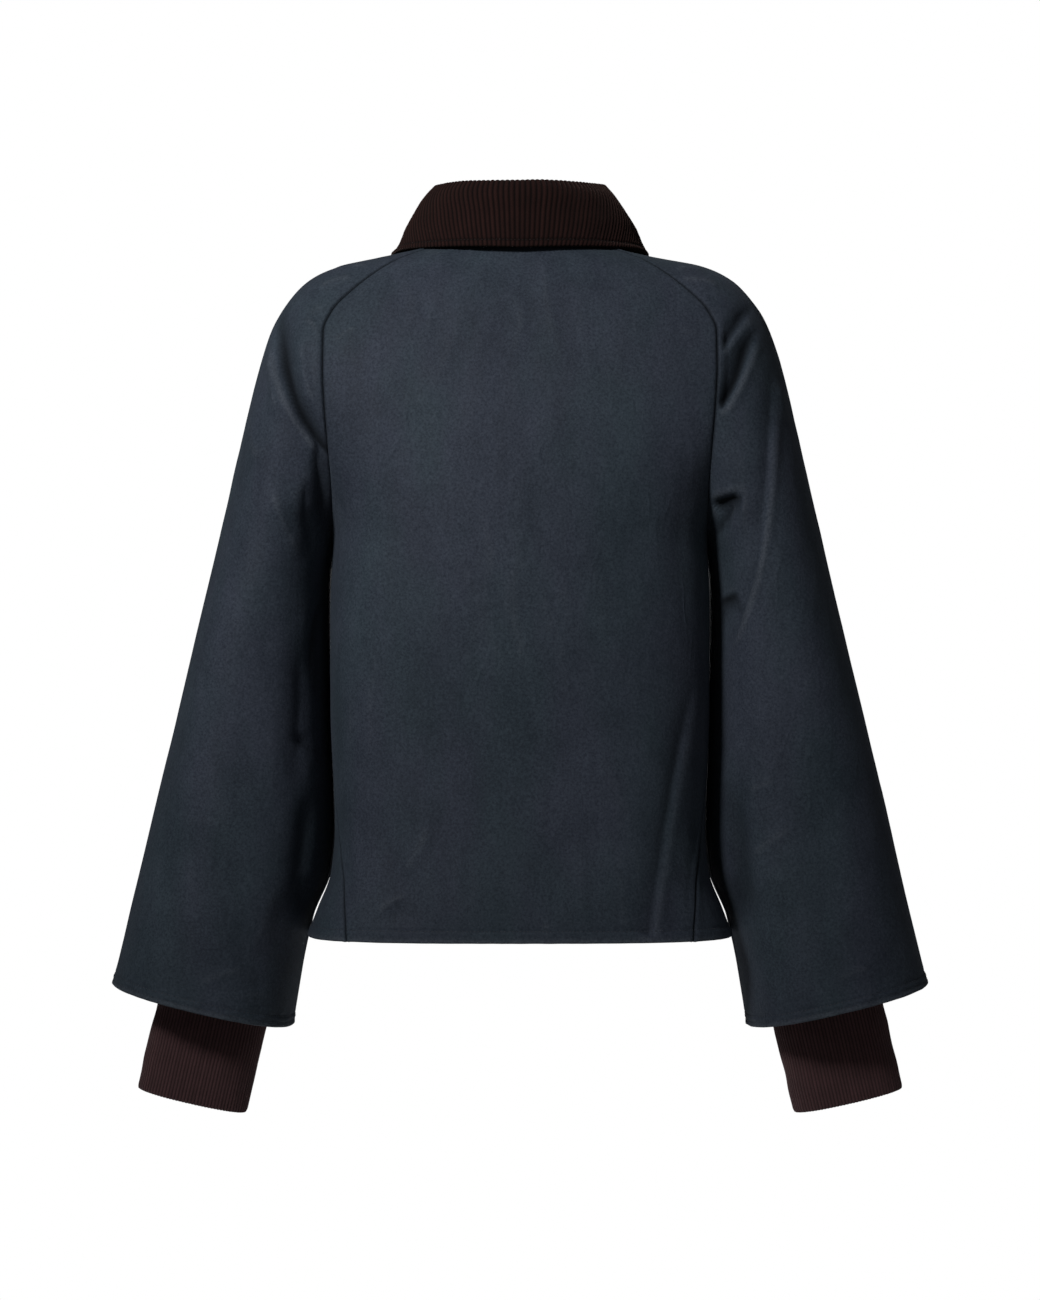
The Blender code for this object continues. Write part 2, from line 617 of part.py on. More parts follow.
def make_shell(collection):
    """Back, fronts and raglan sleeves, sewn to each other. Returns their walls by name."""
    tongue = len(RAGLAN["share"])
    sleeve = left_sleeve_grid()
    rings = len(sleeve) - tongue + 1
    back = back_grid()
    front = left_front_grid()
    walls = {}

    def add_wall(name, grid, closed_rows, underarm, lean=0.0):
        walls[name] = Wall(grid, grid_normals(grid, closed_rows, underarm, lean), CLOTH)

    back_normals = grid_normals(back, 0, BODY_ROWS)
    pressed = press_folds(back, back_normals, BACK_FOLDS, 1)
    pressed += press_folds(back, back_normals, BACK_FOLDS, -1) - back
    pressed[:, (0, -1)] = back[:, (0, -1)]
    add_wall("back", pressed, 0, BODY_ROWS)
    for name, side in (("left", 1), ("right", -1)):
        tube = sleeve if side > 0 else mirrored(sleeve)
        lean = -SLEEVE_LEAN * side
        tube = press_folds(tube, grid_normals(tube, rings, rings - 1, lean), SLEEVE_FOLDS, side, tongue)
        add_wall("sleeve_" + name, tube, rings, rings - 1, lean)
        add_wall("front_" + name, front if side > 0 else mirrored(front), 0, BODY_ROWS)
    seam = np.arange(-tongue + 1, 0)
    side_seam = np.arange(0, BODY_ROWS + 1)
    corner = -tongue
    for name, side in (("left", 1), ("right", -1)):
        sleeve_wall, front_wall, back_wall = walls["sleeve_" + name], walls["front_" + name], walls["back"]
        back_column = 0 if side > 0 else -1
        front_column = -1 if side > 0 else 0
        sleeve_back = -1 if side > 0 else 0
        sleeve_front = 0 if side > 0 else -1
        sew(back_wall, seam, back_column, sleeve_wall, seam, sleeve_back)
        sew(front_wall, seam, front_column, sleeve_wall, seam, sleeve_front)
        sew(back_wall, side_seam, back_column, front_wall, side_seam, front_column)
        underarm = np.array([side * UNDERARM_GAP / 2, 0.0, 0.0])
        back_wall.shift[corner, back_column] -= underarm
        front_wall.shift[corner, front_column] -= underarm
        sleeve_wall.shift[corner, (0, -1)] += underarm
    for name, wall in walls.items():
        open_rows = range(len(wall.outer) - 1)
        if name.startswith("sleeve"):
            open_rows = range(rings - 1, len(wall.outer) - 1)
        wall_object(name, wall.outer + wall.shift, wall.inner(), WAX_NAVY, collection, open_rows)
    return walls


def collar_loops(shares):
    """The collar's neck seam, fold and outer edge; shares run from 1 at the left end to -1."""
    share = np.abs(shares)
    side = points(np.sign(shares), 1.0, 1.0)
    seam_turn = COLLAR_END_TURN * ((1 + COLLAR_LEAN) * share - COLLAR_LEAN * share ** 3)
    edge_turn = COLLAR_POINT_TURN * share
    loops = [neck(seam_turn)]
    for turn, width, back, front, name in (
            (seam_turn, FOLD_WIDTH, FOLD_BACK, FOLD_FRONT, "fold"),
            (edge_turn, EDGE_WIDTH, EDGE_BACK, EDGE_FRONT, "edge")):
        angle = np.radians(turn)
        loops.append(points(width * np.sin(angle), (back + front) / 2 + (back - front) / 2 * np.cos(angle),
                            read(COLLAR_HEIGHTS, name, turn) * MM))
    return [loop * side for loop in loops]


def collar_grid(shares):
    """Rows from the fall's outer edge over the fold and down the stand to the neck seam."""
    seam, fold, edge = collar_loops(shares)
    up = np.array([0.0, 0.0, 1.0])
    along = np.gradient(fold, axis=0)
    outward = points(along[:, 1], -along[:, 0], 0.0)
    outward /= np.linalg.norm(outward, axis=1, keepdims=True)
    foot = seam + up * FOOT_RISE - outward * CORDUROY / 2
    crest = fold + up * FOLD_RISE
    shoulder = fold + outward * FOLD_REACH - up * FOLD_DROP
    throat = fold - outward * FOLD_REACH - up * FOLD_REACH
    crown = FALL_CROWN + SIDE_CROWN * np.sin(math.pi * np.abs(shares)) ** 2
    middle = (shoulder + edge) / 2 + outward * crown[:, None]
    return np.array([edge, middle, shoulder, crest, throat, foot])


def make_collar(collection):
    """The collar's corduroy wall, its wales raised on the side that shows."""
    plain = collar_grid(np.linspace(1.0, -1.0, 2 * WALES + 1))
    normals = grid_normals(plain)
    raised = plain.copy()
    raised[:, 1::2] += normals[:, 1::2] * WALE_HEIGHT
    inner = (plain - normals * CORDUROY)[:, ::2 * WALES_PER_LINING_PANEL]
    wall_object("collar", raised, inner, CORD_BROWN, collection, range(len(plain) - 1))


def cuff_section(centre, scale, count):
    """A ring of the left cuff at a centre; it starts at the inner side and turns over the front."""
    down = CUFF_BOTTOM - CUFF_TOP
    across = np.array([-down[2], 0.0, down[0]]) / np.linalg.norm(down)
    angle = np.linspace(0.0, 2 * math.pi, count + 1)
    ring = centre - np.outer(scale * CUFF_HALF_WIDTH * power(np.cos(angle), CUFF_ROUNDNESS), across)
    ring[:, 1] -= scale * CUFF_HALF_DEPTH * power(np.sin(angle), CUFF_ROUNDNESS)
    ring = divide(ring, count)
    ring[-1] = ring[0]
    return ring


def make_cuffs(collection):
    """Rib tubes whose ribs are raised outside, over a plain inside."""
    down = (CUFF_BOTTOM - CUFF_TOP) / np.linalg.norm(CUFF_BOTTOM - CUFF_TOP)
    count = 2 * CUFF_RIBS
    plain = np.array([cuff_section(CUFF_BOTTOM, CUFF_EDGE_TUCK, count),
                      cuff_section(CUFF_BOTTOM - down * CUFF_EDGE, 1.0, count),
                      cuff_section(CUFF_TOP, 1.0, count)])
    normals = grid_normals(plain, len(plain))
    raised = plain.copy()
    raised[:, 1::2] += normals[:, 1::2] * CUFF_RIB_HEIGHT
    inner = (plain - normals * RIB)[:, ::2 * RIBS_PER_LINING_PANEL]
    wall_object("cuff_left", raised, inner, RIB_BROWN, collection)
    wall_object("cuff_right", mirrored(raised), mirrored(inner), RIB_BROWN, collection)


def make_skirts(collection, walls):
    """The lining rings that carry the cuffs, from a ring of each sleeve down to the cuff's top."""
    down = (CUFF_BOTTOM - CUFF_TOP) / np.linalg.norm(CUFF_BOTTOM - CUFF_TOP)
    row = len(SLEEVE_RINGS) - 1 - SKIRT_RING
    tuck = 1.0 - RIB / 2 / CUFF_HALF_DEPTH
    for name, side in (("left", 1), ("right", -1)):
        wall = walls["sleeve_" + name]
        top = wall.inner()[row] - wall.normals[row] * SEAM_GAP
        low = cuff_section(CUFF_TOP - down * SEAM_GAP, tuck, SLEEVE_COLUMNS)
        if side < 0:
            low = mirrored(low[None])[0]
        grid = np.array([low + (top - low) * share for share in SKIRT_SHARES])
        normals = grid_normals(grid, len(grid))
        wall_object("cuff_skirt_" + name, grid, grid - normals * LINING, LINING_DARK, collection)


def make_tapes(collection, walls):
    """A strip behind each front edge, a seam gap behind the cloth. Returns the left one's points."""
    wall = walls["front_left"]
    edge = wall.inner()[:-1, 0]
    beside = wall.inner()[:-1, 1]
    share = (TAPE_OUTER_X - FRONT_EDGE) / (beside[:, 0] - edge[:, 0])
    outer_line = edge + (beside - edge) * share[:, None]
    inner_line = edge + (TAPE_INNER_X - FRONT_EDGE) * np.array([1.0, 0.0, 0.0])
    face = np.stack([inner_line, edge, outer_line], axis=1)
    normals = grid_normals(face)
    face = face - normals * SEAM_GAP
    for name, grid, facing in (("left", face, normals), ("right", mirrored(face), mirrored(normals))):
        wall_object("zip_tape_" + name, grid, grid - facing * TAPE, TAPE_NAVY, collection,
                    range(len(grid) - 1))
    return face


def zip_frame(tape):
    """A matrix at the slider: X across, Y out of the jacket, Z up along the zip."""
    line = tape[:, 0]
    order = np.argsort(line[:, 2])
    y_at = [float(np.interp(z, line[order, 2], line[order, 1]))
            for z in (SLIDER_Z - SLIDER_HEIGHT / 2, SLIDER_Z, SLIDER_Z + SLIDER_HEIGHT / 2)]
    up = Vector((0.0, y_at[2] - y_at[0], SLIDER_HEIGHT)).normalized()
    across = Vector((-1.0, 0.0, 0.0))
    out = up.cross(across)
    frame = Matrix((across, out, up)).transposed().to_4x4()
    frame.translation = (0.0, y_at[1], SLIDER_Z)
    return frame


def block(name, low, high, collection):
    """A box between two corners, with its size applied."""
    bpy.ops.mesh.primitive_cube_add(size=1.0)
    made = bpy.context.object
    made.name = name
    size = Vector(high) - Vector(low)
    middle = (Vector(high) + Vector(low)) / 2
    made.data.transform(Matrix.Translation(middle) @ Matrix.Diagonal(size).to_4x4())
    move_to(made, collection)
    return made


def rod(name, radius, start_x, end_x, y, z, sides, collection):
    """A cylinder along X."""
    bpy.ops.mesh.primitive_cylinder_add(vertices=sides, radius=radius, depth=end_x - start_x)
    made = bpy.context.object
    made.name = name
    turn = Matrix.Rotation(math.pi / 2, 4, "Y")
    made.data.transform(Matrix.Translation(((start_x + end_x) / 2, y, z)) @ turn)
    move_to(made, collection)
    return made


def move_to(made, collection):
    for holder in list(made.users_collection):
        holder.objects.unlink(made)
    collection.objects.link(made)


def combine(base, others, operation):
    """Unites base with the others, or cuts them out of it, and removes them."""
    for other in others:
        modifier = base.modifiers.new(operation.lower(), "BOOLEAN")
        modifier.operation = operation
        modifier.object = other
        bpy.context.view_layer.update()
        result = bpy.data.meshes.new_from_object(base.evaluated_get(bpy.context.evaluated_depsgraph_get()))
        base.modifiers.clear()
        base.data = result
        bpy.data.objects.remove(other)


def finish_hardware(made, frame):
    made.matrix_world = frame
    made.data.materials.clear()
    made.data.materials.append(material(ANTIQUE_BRASS))
    made.data.shade_smooth()
    made.data.set_sharp_from_angle(angle=math.radians(SHARP_ANGLE))


def make_slider(collection, frame):
    """Two plates joined by a post between the tapes, with lugs and a pin for the pull tab."""
    half_width, half_height = SLIDER_WIDTH / 2, SLIDER_HEIGHT / 2
    face = SLIDER_CLEARANCE + FRONT_PLATE
    rear = -(TAPE + SLIDER_CLEARANCE)
    pin_y = face + PIN_REACH
    lug_start = EYE_LENGTH / 2 + EYE_CLEARANCE
    lug_end = lug_start + LUG_WIDTH
    slider = block("zip_slider", (-half_width, SLIDER_CLEARANCE, -half_height),
                   (half_width, face, half_height), collection)
    parts = [
        block("post", (-POST_WIDTH / 2, rear - OVERLAP, -POST_HEIGHT / 2),
              (POST_WIDTH / 2, SLIDER_CLEARANCE + OVERLAP, POST_HEIGHT / 2), collection),
        block("rear", (-half_width, rear - BACK_PLATE, -half_height), (half_width, rear, half_height),
              collection),
    ]
    for side in (-1, 1):
        ends = sorted((side * lug_start, side * lug_end))
        parts.append(block("lug", (ends[0], face - OVERLAP, -LUG_HEIGHT / 2),
                           (ends[1], pin_y + PIN_RADIUS + OVERLAP, LUG_HEIGHT / 2), collection))
    parts.append(rod("pin", PIN_RADIUS, -lug_end + OVERLAP, lug_end - OVERLAP, pin_y, 0.0, EYE_SIDES,
                     collection))
    combine(slider, parts, "UNION")
    finish_hardware(slider, frame)


def make_pull(collection, frame):
    """The pull tab, its origin on the pin's axis: an eye round the pin and a flat tab below."""
    pin_y = SLIDER_CLEARANCE + FRONT_PLATE + PIN_REACH
    half = EYE_LENGTH / 2
    pull = rod("zip_pull", EYE_OUTER, -half, half, 0.0, 0.0, EYE_SIDES, collection)
    neck_block = block("pull_neck", (-half, -TAB_THICKNESS / 2, -TAB_TOP - OVERLAP),
                       (half, TAB_THICKNESS / 2, 0.0), collection)
    tab = block("pull_tab", (-TAB_WIDTH / 2, -TAB_THICKNESS / 2, -TAB_LENGTH),
                (TAB_WIDTH / 2, TAB_THICKNESS / 2, -TAB_TOP), collection)
    combine(pull, [neck_block, tab], "UNION")
    bore = rod("bore", EYE_INNER, -half - OVERLAP, half + OVERLAP, 0.0, 0.0, EYE_SIDES, collection)
    combine(pull, [bore], "DIFFERENCE")
    finish_hardware(pull, frame @ Matrix.Translation((0.0, pin_y, 0.0)))


def main():
    for old in list(bpy.data.objects):
        bpy.data.objects.remove(old)
    collection = bpy.data.collections.new("waxed_jacket")
    bpy.context.scene.collection.children.link(collection)
    walls = make_shell(collection)
    make_collar(collection)
    make_cuffs(collection)
    make_skirts(collection, walls)
    tape = make_tapes(collection, walls)
    frame = zip_frame(tape)
    make_slider(collection, frame)
    make_pull(collection, frame)


main()
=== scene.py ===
"""A short waxed cotton jacket, dressed: its cloth, corduroy, rib knit, sewing and zip.

Run in Blender 4.5 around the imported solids, which are loaded first. Metres, +Z up. The jacket
faces -Y, and the wearer's left is +X. The tables are in millimetres and degrees, and MM turns
their lengths into metres.
"""
import functools
import math

import bmesh
import bpy
import numpy as np
from bpy.props import FloatProperty, FloatVectorProperty, IntProperty, PointerProperty
from mathutils import Matrix, Vector, noise
from mathutils.kdtree import KDTree


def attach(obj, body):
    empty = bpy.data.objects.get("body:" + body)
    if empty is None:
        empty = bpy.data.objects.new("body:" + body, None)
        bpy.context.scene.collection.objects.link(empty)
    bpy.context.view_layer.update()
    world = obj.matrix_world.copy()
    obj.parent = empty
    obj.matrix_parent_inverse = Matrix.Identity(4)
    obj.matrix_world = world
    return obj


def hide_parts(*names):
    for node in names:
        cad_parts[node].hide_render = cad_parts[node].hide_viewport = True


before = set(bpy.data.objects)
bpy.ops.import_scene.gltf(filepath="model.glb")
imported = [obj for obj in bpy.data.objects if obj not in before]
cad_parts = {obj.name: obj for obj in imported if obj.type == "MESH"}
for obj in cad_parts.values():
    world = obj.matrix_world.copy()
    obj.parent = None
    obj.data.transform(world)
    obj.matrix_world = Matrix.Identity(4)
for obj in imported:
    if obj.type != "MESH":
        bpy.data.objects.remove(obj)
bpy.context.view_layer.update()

bl_info = {
    "name": "Waxed Cotton Jacket",
    "version": (1, 0, 0),
    "blender": (4, 5, 0),
    "location": "3D View > Sidebar > Jacket",
    "description": "Makes the cloth, trims, sewing and zip of a short waxed cotton jacket",
    "category": "Object",
}

MM = 0.001
BODY = "jacket"             # the rigid body that all the cloth rides on
PULL = "pull_tab"

# ---------------------------------------------------------------- the cut, as the solids have it
TORSO_BOXINESS = 3.2
SLEEVE_BOXINESS = 2.4
UNDERARM_BOXINESS = 2.0
UNDERARM_RELIEF = 0.25
FRONT_EDGE = 6.0 * MM
NECK_WIDTH = 70.0 * MM
NECK_BACK = 58.0 * MM
NECK_FRONT = -78.0 * MM
BACK_NECK_TURN = 55.0
FRONT_NECK_TURN = 118.0
NECK_END_TURN = 175.0
NECK_START = 0.9
SHOULDER_TURN = 88.0
DENSE = 361                 # points on a curve before it is divided
SLEEVE_LEAN = 0.2


def columns(names, *rows):
    """A table with named columns; the first column is the one it is read by."""
    return dict(zip(names.split(), np.array(rows, float).T))


TORSO = columns(
    "z     width  back  front  side_turn",
    (-556, 173.0, 118,  112,   44),
    (-535, 165.0, 117,  112,   50),
    (-505, 154.0, 115,  111,   61),
    (-470, 151.0, 113,  110,   71),
    (-420, 152.5, 112,  110,   79),
    (-366, 154.5, 113,  111,   87),
    (-300, 154.5, 116,  114,   90),
    (-240, 153.0, 118,  116,   90),
)
RAGLAN = columns(
    "share back_x back_z front_x front_z outer_x outer_z turn depth mid_y",
    (0.00, 153.0, -240,  153.0,  -240,   251.8,  -256.0, -90,  86.0, 0.0),
    (0.03, 152.6, -237,  152.5,  -237,   249.2,  -245.0, -78,  87.0, 0.0),
    (0.08, 151.8, -227,  151.4,  -228,   244.8,  -227.0, -66,  88.0, 0.0),
    (0.18, 151.0, -200,  149.5,  -203,   234.5,  -184.0, -44,  91.0, 0.5),
    (0.30, 153.0, -165,  151.0,  -170,   224.0,  -140.0, -22,  94.0, 1.0),
    (0.42, 155.5, -131,  152.0,  -139,   213.8,  -98.0,  -6,   96.0, 1.0),
    (0.54, 157.0, -98,   151.0,  -106,   202.5,  -62.5,   8,   93.5, 1.0),
    (0.64, 157.0, -71,   147.0,  -82,    189.0,  -40.0,   18,  88.0, 1.0),
    (0.72, 150.5, -54,   138.0,  -67,    173.0,  -23.5,   26,  85.0, 1.0),
    (0.80, 132.0, -34,   122.0,  -51,    150.0,  -12.0,   34,  81.0, 0.5),
    (0.90, 99.0,  -10,   95.0,   -29,    114.0,  -4.5,    42,  69.0, 0.0),
    (1.00, 57.3,  6.5,   61.8,   -12,    70.0,   2.0,     50,  51.0, -6.0),
)
CENTRES = columns(
    "share back_y back_z front_y front_z",
    (0.00, 118,   -240,  -116,   -240),
    (0.03, 118.1, -237,  -116.1, -238),
    (0.08, 118.3, -227,  -116.2, -230),
    (0.18, 117.4, -200,  -115.4, -209),
    (0.30, 115,   -165,  -113,   -181),
    (0.42, 111,   -131,  -110,   -154),
    (0.54, 105,   -98,   -105,   -128),
    (0.64, 99,    -71,   -100,   -110),
    (0.72, 94,    -54,   -96,    -100),
    (0.80, 86,    -34,   -92,    -91),
    (0.90, 72,    -10,   -86,    -80),
    (1.00, 58,    12,    -78,    -70),
)
SLEEVE = columns(
    "share inner_x inner_z outer_x outer_z depth mid_y press",
    (0.00, 153.0,  -240,   251.8,  -256,   86,   0,    0.0),
    (0.10, 157.5,  -275,   259.9,  -290,   87,   -2,   4.0),
    (0.25, 158.2,  -330,   273.2,  -345,   87,   -6,   4.5),
    (0.42, 157.8,  -395,   288.0,  -407,   87,   -9,   5.0),
    (0.60, 156.0,  -465,   303.2,  -470,   88,   -11,  5.2),
    (0.69, 159.6,  -505,   311.2,  -503,   88.5, -12,  5.6),
    (0.78, 173.8,  -545,   318.8,  -535,   89,   -12,  4.2),
    (0.90, 180.5,  -590,   327.2,  -570,   89,   -12,  0.8),
    (1.00, 187.0,  -632,   333.6,  -597,   89,   -12,  0.0),
)
PRESS_Y = -42.0 * MM
PRESS_WIDTH = 30.0 * MM
SHOULDER = columns(
    "share boxiness stop rise",
    (0.00, 3.2,     90,  1.0),
    (0.03, 3.2,     87,  1.0),
    (0.08, 3.2,     81,  1.0),
    (0.18, 3.1,     64,  1.0),
    (0.30, 3.0,     48,  1.1),
    (0.42, 2.8,     45,  1.2),
    (0.54, 2.6,     42,  1.4),
    (0.80, 2.4,     42,  1.8),
    (1.00, 2.2,     45,  2.0),
)
NECK_HEIGHT = columns(
    "turn z",
    (0,   12),
    (55,  6.5),
    (88,  2),
    (118, -12),
    (150, -48),
    (175, -70),
    (180, -71),
)

# ---------------------------------------------------------------- creases
# Each runs from start over bend to end. Those on the back are placed as the eye 3 m behind the
# jacket sees them, in the plane of the origin. right and left are the crease's widths on the right
# and left hand of someone who follows it on the back; depth is below 0 for a trough. head and tail
# are the shares over which it starts and ends, and lip is the edge that rises beside its right side.
CREASE = "start_x start_z bend_x bend_z end_x end_z right left depth head tail lip"
LEFT_SLEEVE_BACK = columns(
    CREASE,
    (194,  -40,   213,   -108,  150,   -170,  2.6, 12,  -9.0, 0.42, 0.08, 0.12),
    (162,  -150,  159,   -205,  153,   -244,  8,   8,   -6.0, 0.15, 0.30, 0),
    (178,  -62,   184,   -98,   164,   -132,  7,   6,   2.6,  0.30, 0.30, 0),
    (173,  -46,   166,   -54,   157,   -67,   2.5, 5,   -1.8, 0.30, 0.30, 0.4),
    (168,  -31,   152,   -21,   134,   -18,   2.4, 3,   1.9,  0.30, 0.30, 0),
    (156,  -13,   140,   -8,    120,   -10,   2.6, 3,   1.2,  0.30, 0.30, 0),
    (204,  -76,   206,   -105,  198,   -136,  4,   5,   2.0,  0.30, 0.30, 0),
    (220,  -128,  222,   -152,  213,   -174,  4,   6,   1.6,  0.30, 0.30, 0),
    (205,  -186,  198,   -220,  178,   -252,  7,   8,   2.4,  0.30, 0.30, 0),
    (174,  -182,  178,   -214,  168,   -256,  4,   10,  -2.4, 0.30, 0.30, 0.2),
    (159,  -282,  176,   -296,  168,   -372,  3,   10,  -5.5, 0.20, 0.30, 0.1),
    (182,  -392,  172,   -408,  160,   -420,  4,   8,   -4.0, 0.30, 0.20, 0.2),
    (176,  -300,  180,   -380,  184,   -452,  8,   14,  -3.0, 0.30, 0.40, 0.2),
    (166,  -430,  177,   -490,  179,   -552,  11,  12,  -6.0, 0.35, 0.20, 0),
    (236,  -230,  244,   -330,  232,   -430,  26,  30,  1.8,  0.40, 0.40, 0),
    (252,  -380,  256,   -440,  226,   -520,  30,  34,  2.4,  0.40, 0.40, 0),
    (226,  -340,  222,   -440,  236,   -560,  16,  22,  -1.6, 0.40, 0.30, 0),
    (284,  -420,  292,   -500,  300,   -590,  14,  20,  -1.4, 0.40, 0.20, 0),
    (222,  -586,  246,   -588,  268,   -602,  4,   5,   1.0,  0.30, 0.30, 0),
    (196,  -510,  208,   -548,  226,   -582,  7,   9,   1.2,  0.30, 0.30, 0),
    (262,  -300,  262,   -330,  250,   -352,  5,   6,   0.6,  0.35, 0.35, 0),
    (240,  -470,  262,   -462,  284,   -470,  4,   5,   0.4,  0.35, 0.35, 0),
    (214,  -608,  216,   -580,  228,   -540,  9,   12,  -1.6, 0.15, 0.45, 0),
)
RIGHT_SLEEVE_BACK = columns(
    CREASE,
    (-163, -128,  -182,  -100,  -194,  -58,   2.8, 13,  -8.0, 0.12, 0.30, 0.12),
    (-165, -80,   -175,  -60,   -191,  -42,   3,   7,   -5.0, 0.25, 0.30, 0),
    (-163, -334,  -208,  -262,  -207,  -78,   2.6, 8,   -2.4, 0.12, 0.25, 0.50),
    (-124, -13,   -138,  -9,    -153,  -14,   2.4, 3,   1.4,  0.30, 0.30, 0),
    (-129, -23,   -146,  -19,   -166,  -29,   2.4, 3,   2.0,  0.30, 0.30, 0),
    (-212, -104,  -216,  -122,  -216,  -142,  4,   5,   1.2,  0.30, 0.30, 0),
    (-185, -199,  -172,  -199,  -158,  -206,  2.6, 14,  -7.0, 0.45, 0.05, 0.10),
    (-173, -204,  -167,  -216,  -160,  -234,  5,   6,   -5.0, 0.30, 0.30, 0),
    (-180, -279,  -170,  -281,  -157,  -290,  2.6, 14,  -7.0, 0.45, 0.05, 0.10),
    (-170, -285,  -165,  -298,  -159,  -318,  5,   6,   -5.0, 0.30, 0.30, 0),
    (-178, -150,  -188,  -186,  -180,  -236,  10,  12,  1.8,  0.35, 0.35, 0),
    (-180, -552,  -177,  -490,  -165,  -422,  12,  12,  -6.5, 0.20, 0.35, 0),
    (-168, -430,  -164,  -370,  -160,  -316,  4,   8,   -3.5, 0.30, 0.30, 0.2),
    (-226, -240,  -238,  -330,  -232,  -420,  28,  24,  1.8,  0.40, 0.40, 0),
    (-184, -442,  -196,  -436,  -212,  -430,  5,   6,   0.9,  0.30, 0.35, 0),
    (-186, -498,  -204,  -478,  -228,  -470,  6,   7,   1.1,  0.25, 0.35, 0),
    (-240, -420,  -246,  -500,  -262,  -580,  22,  18,  -1.6, 0.40, 0.30, 0),
    (-270, -360,  -288,  -450,  -296,  -560,  20,  16,  1.4,  0.40, 0.30, 0),
    (-256, -598,  -272,  -588,  -290,  -584,  4,   5,   0.9,  0.30, 0.30, 0),
    (-206, -600,  -222,  -566,  -222,  -520,  12,  9,   -1.5, 0.15, 0.45, 0),
    (-238, -180,  -246,  -210,  -246,  -246,  6,   6,   0.6,  0.35, 0.35, 0),
)
BACK_CREASES = columns(
    CREASE,
    (0,    -116,  4,     -240,  0,     -372,  52,  48,  2.6,  0.40, 0.40, 0),
    (-106, -562,  -122,  -455,  -145,  -336,  3.2, 9,   -3.0, 0.02, 0.35, 0.12),
    (-20,  -556,  -34,   -500,  -52,   -452,  22,  26,  -2.4, 0.15, 0.45, 0),
    (98,   -556,  102,   -505,  120,   -440,  15,  14,  -2.6, 0.15, 0.40, 0),
    (66,   -296,  56,    -316,  32,    -334,  7,   8,   -1.0, 0.30, 0.30, 0),
    (74,   -466,  84,    -490,  100,   -514,  6,   8,   1.2,  0.30, 0.30, 0),
    (92,   -524,  106,   -530,  120,   -541,  3,   4,   1.4,  0.30, 0.30, 0),
    (153,  -74,   146,   -64,   131,   -60,   3,   4,   0.9,  0.30, 0.30, 0),
    (-150, -70,   -140,  -62,   -128,  -60,   4,   4,   0.6,  0.30, 0.30, 0),
    (140,  -180,  128,   -250,  134,   -330,  12,  14,  -1.2, 0.35, 0.35, 0),
    (-138, -160,  -128,  -230,  -136,  -300,  12,  12,  -1.2, 0.35, 0.35, 0),
    (-64,  -400,  -74,   -440,  -96,   -470,  8,   9,   0.7,  0.35, 0.35, 0),
    (40,   -560,  36,    -520,  44,    -470,  14,  14,  0.9,  0.15, 0.45, 0),
    (-88,  -560,  -84,   -520,  -90,   -480,  12,  12,  1.0,  0.15, 0.45, 0),
)
LEFT_SLEEVE_FRONT = columns(
    CREASE,
    (190,  -44,   198,   -98,   158,   -164,  12,  5,   -4.2, 0.25, 0.15, 0),
    (206,  -70,   206,   -112,  178,   -156,  6,   7,   2.0,  0.30, 0.30, 0),
    (172,  -288,  176,   -400,  196,   -520,  14,  10,  -4.6, 0.20, 0.25, 0),
    (168,  -186,  180,   -210,  186,   -250,  6,   8,   -2.2, 0.20, 0.35, 0),
    (236,  -220,  246,   -320,  238,   -420,  24,  28,  2.0,  0.40, 0.40, 0),
    (250,  -380,  250,   -450,  226,   -510,  26,  30,  2.2,  0.40, 0.40, 0),
    (230,  -350,  226,   -450,  244,   -580,  15,  18,  -1.6, 0.40, 0.30, 0),
    (212,  -606,  222,   -572,  224,   -530,  10,  12,  -1.4, 0.15, 0.45, 0),
    (280,  -420,  294,   -500,  304,   -590,  14,  16,  1.3,  0.40, 0.25, 0),
)
RIGHT_SLEEVE_FRONT = columns(
    CREASE,
    (-166, -122,  -166,  -66,   -189,  -42,   9,   5,   -4.0, 0.15, 0.20, 0),
    (-166, -331,  -213,  -235,  -206,  -84,   5,   12,  -3.6, 0.15, 0.20, 0),
    (-206, -520,  -184,  -450,  -176,  -400,  16,  12,  -4.4, 0.20, 0.25, 0),
    (-164, -200,  -178,  -216,  -186,  -246,  6,   6,   -2.0, 0.20, 0.35, 0),
    (-230, -230,  -244,  -330,  -236,  -430,  26,  24,  2.0,  0.40, 0.40, 0),
    (-246, -400,  -250,  -480,  -268,  -570,  20,  18,  -1.6, 0.40, 0.30, 0),
    (-206, -600,  -224,  -566,  -220,  -520,  12,  10,  -1.4, 0.15, 0.45, 0),
    (-282, -400,  -290,  -470,  -304,  -560,  16,  15,  1.3,  0.40, 0.25, 0),
)
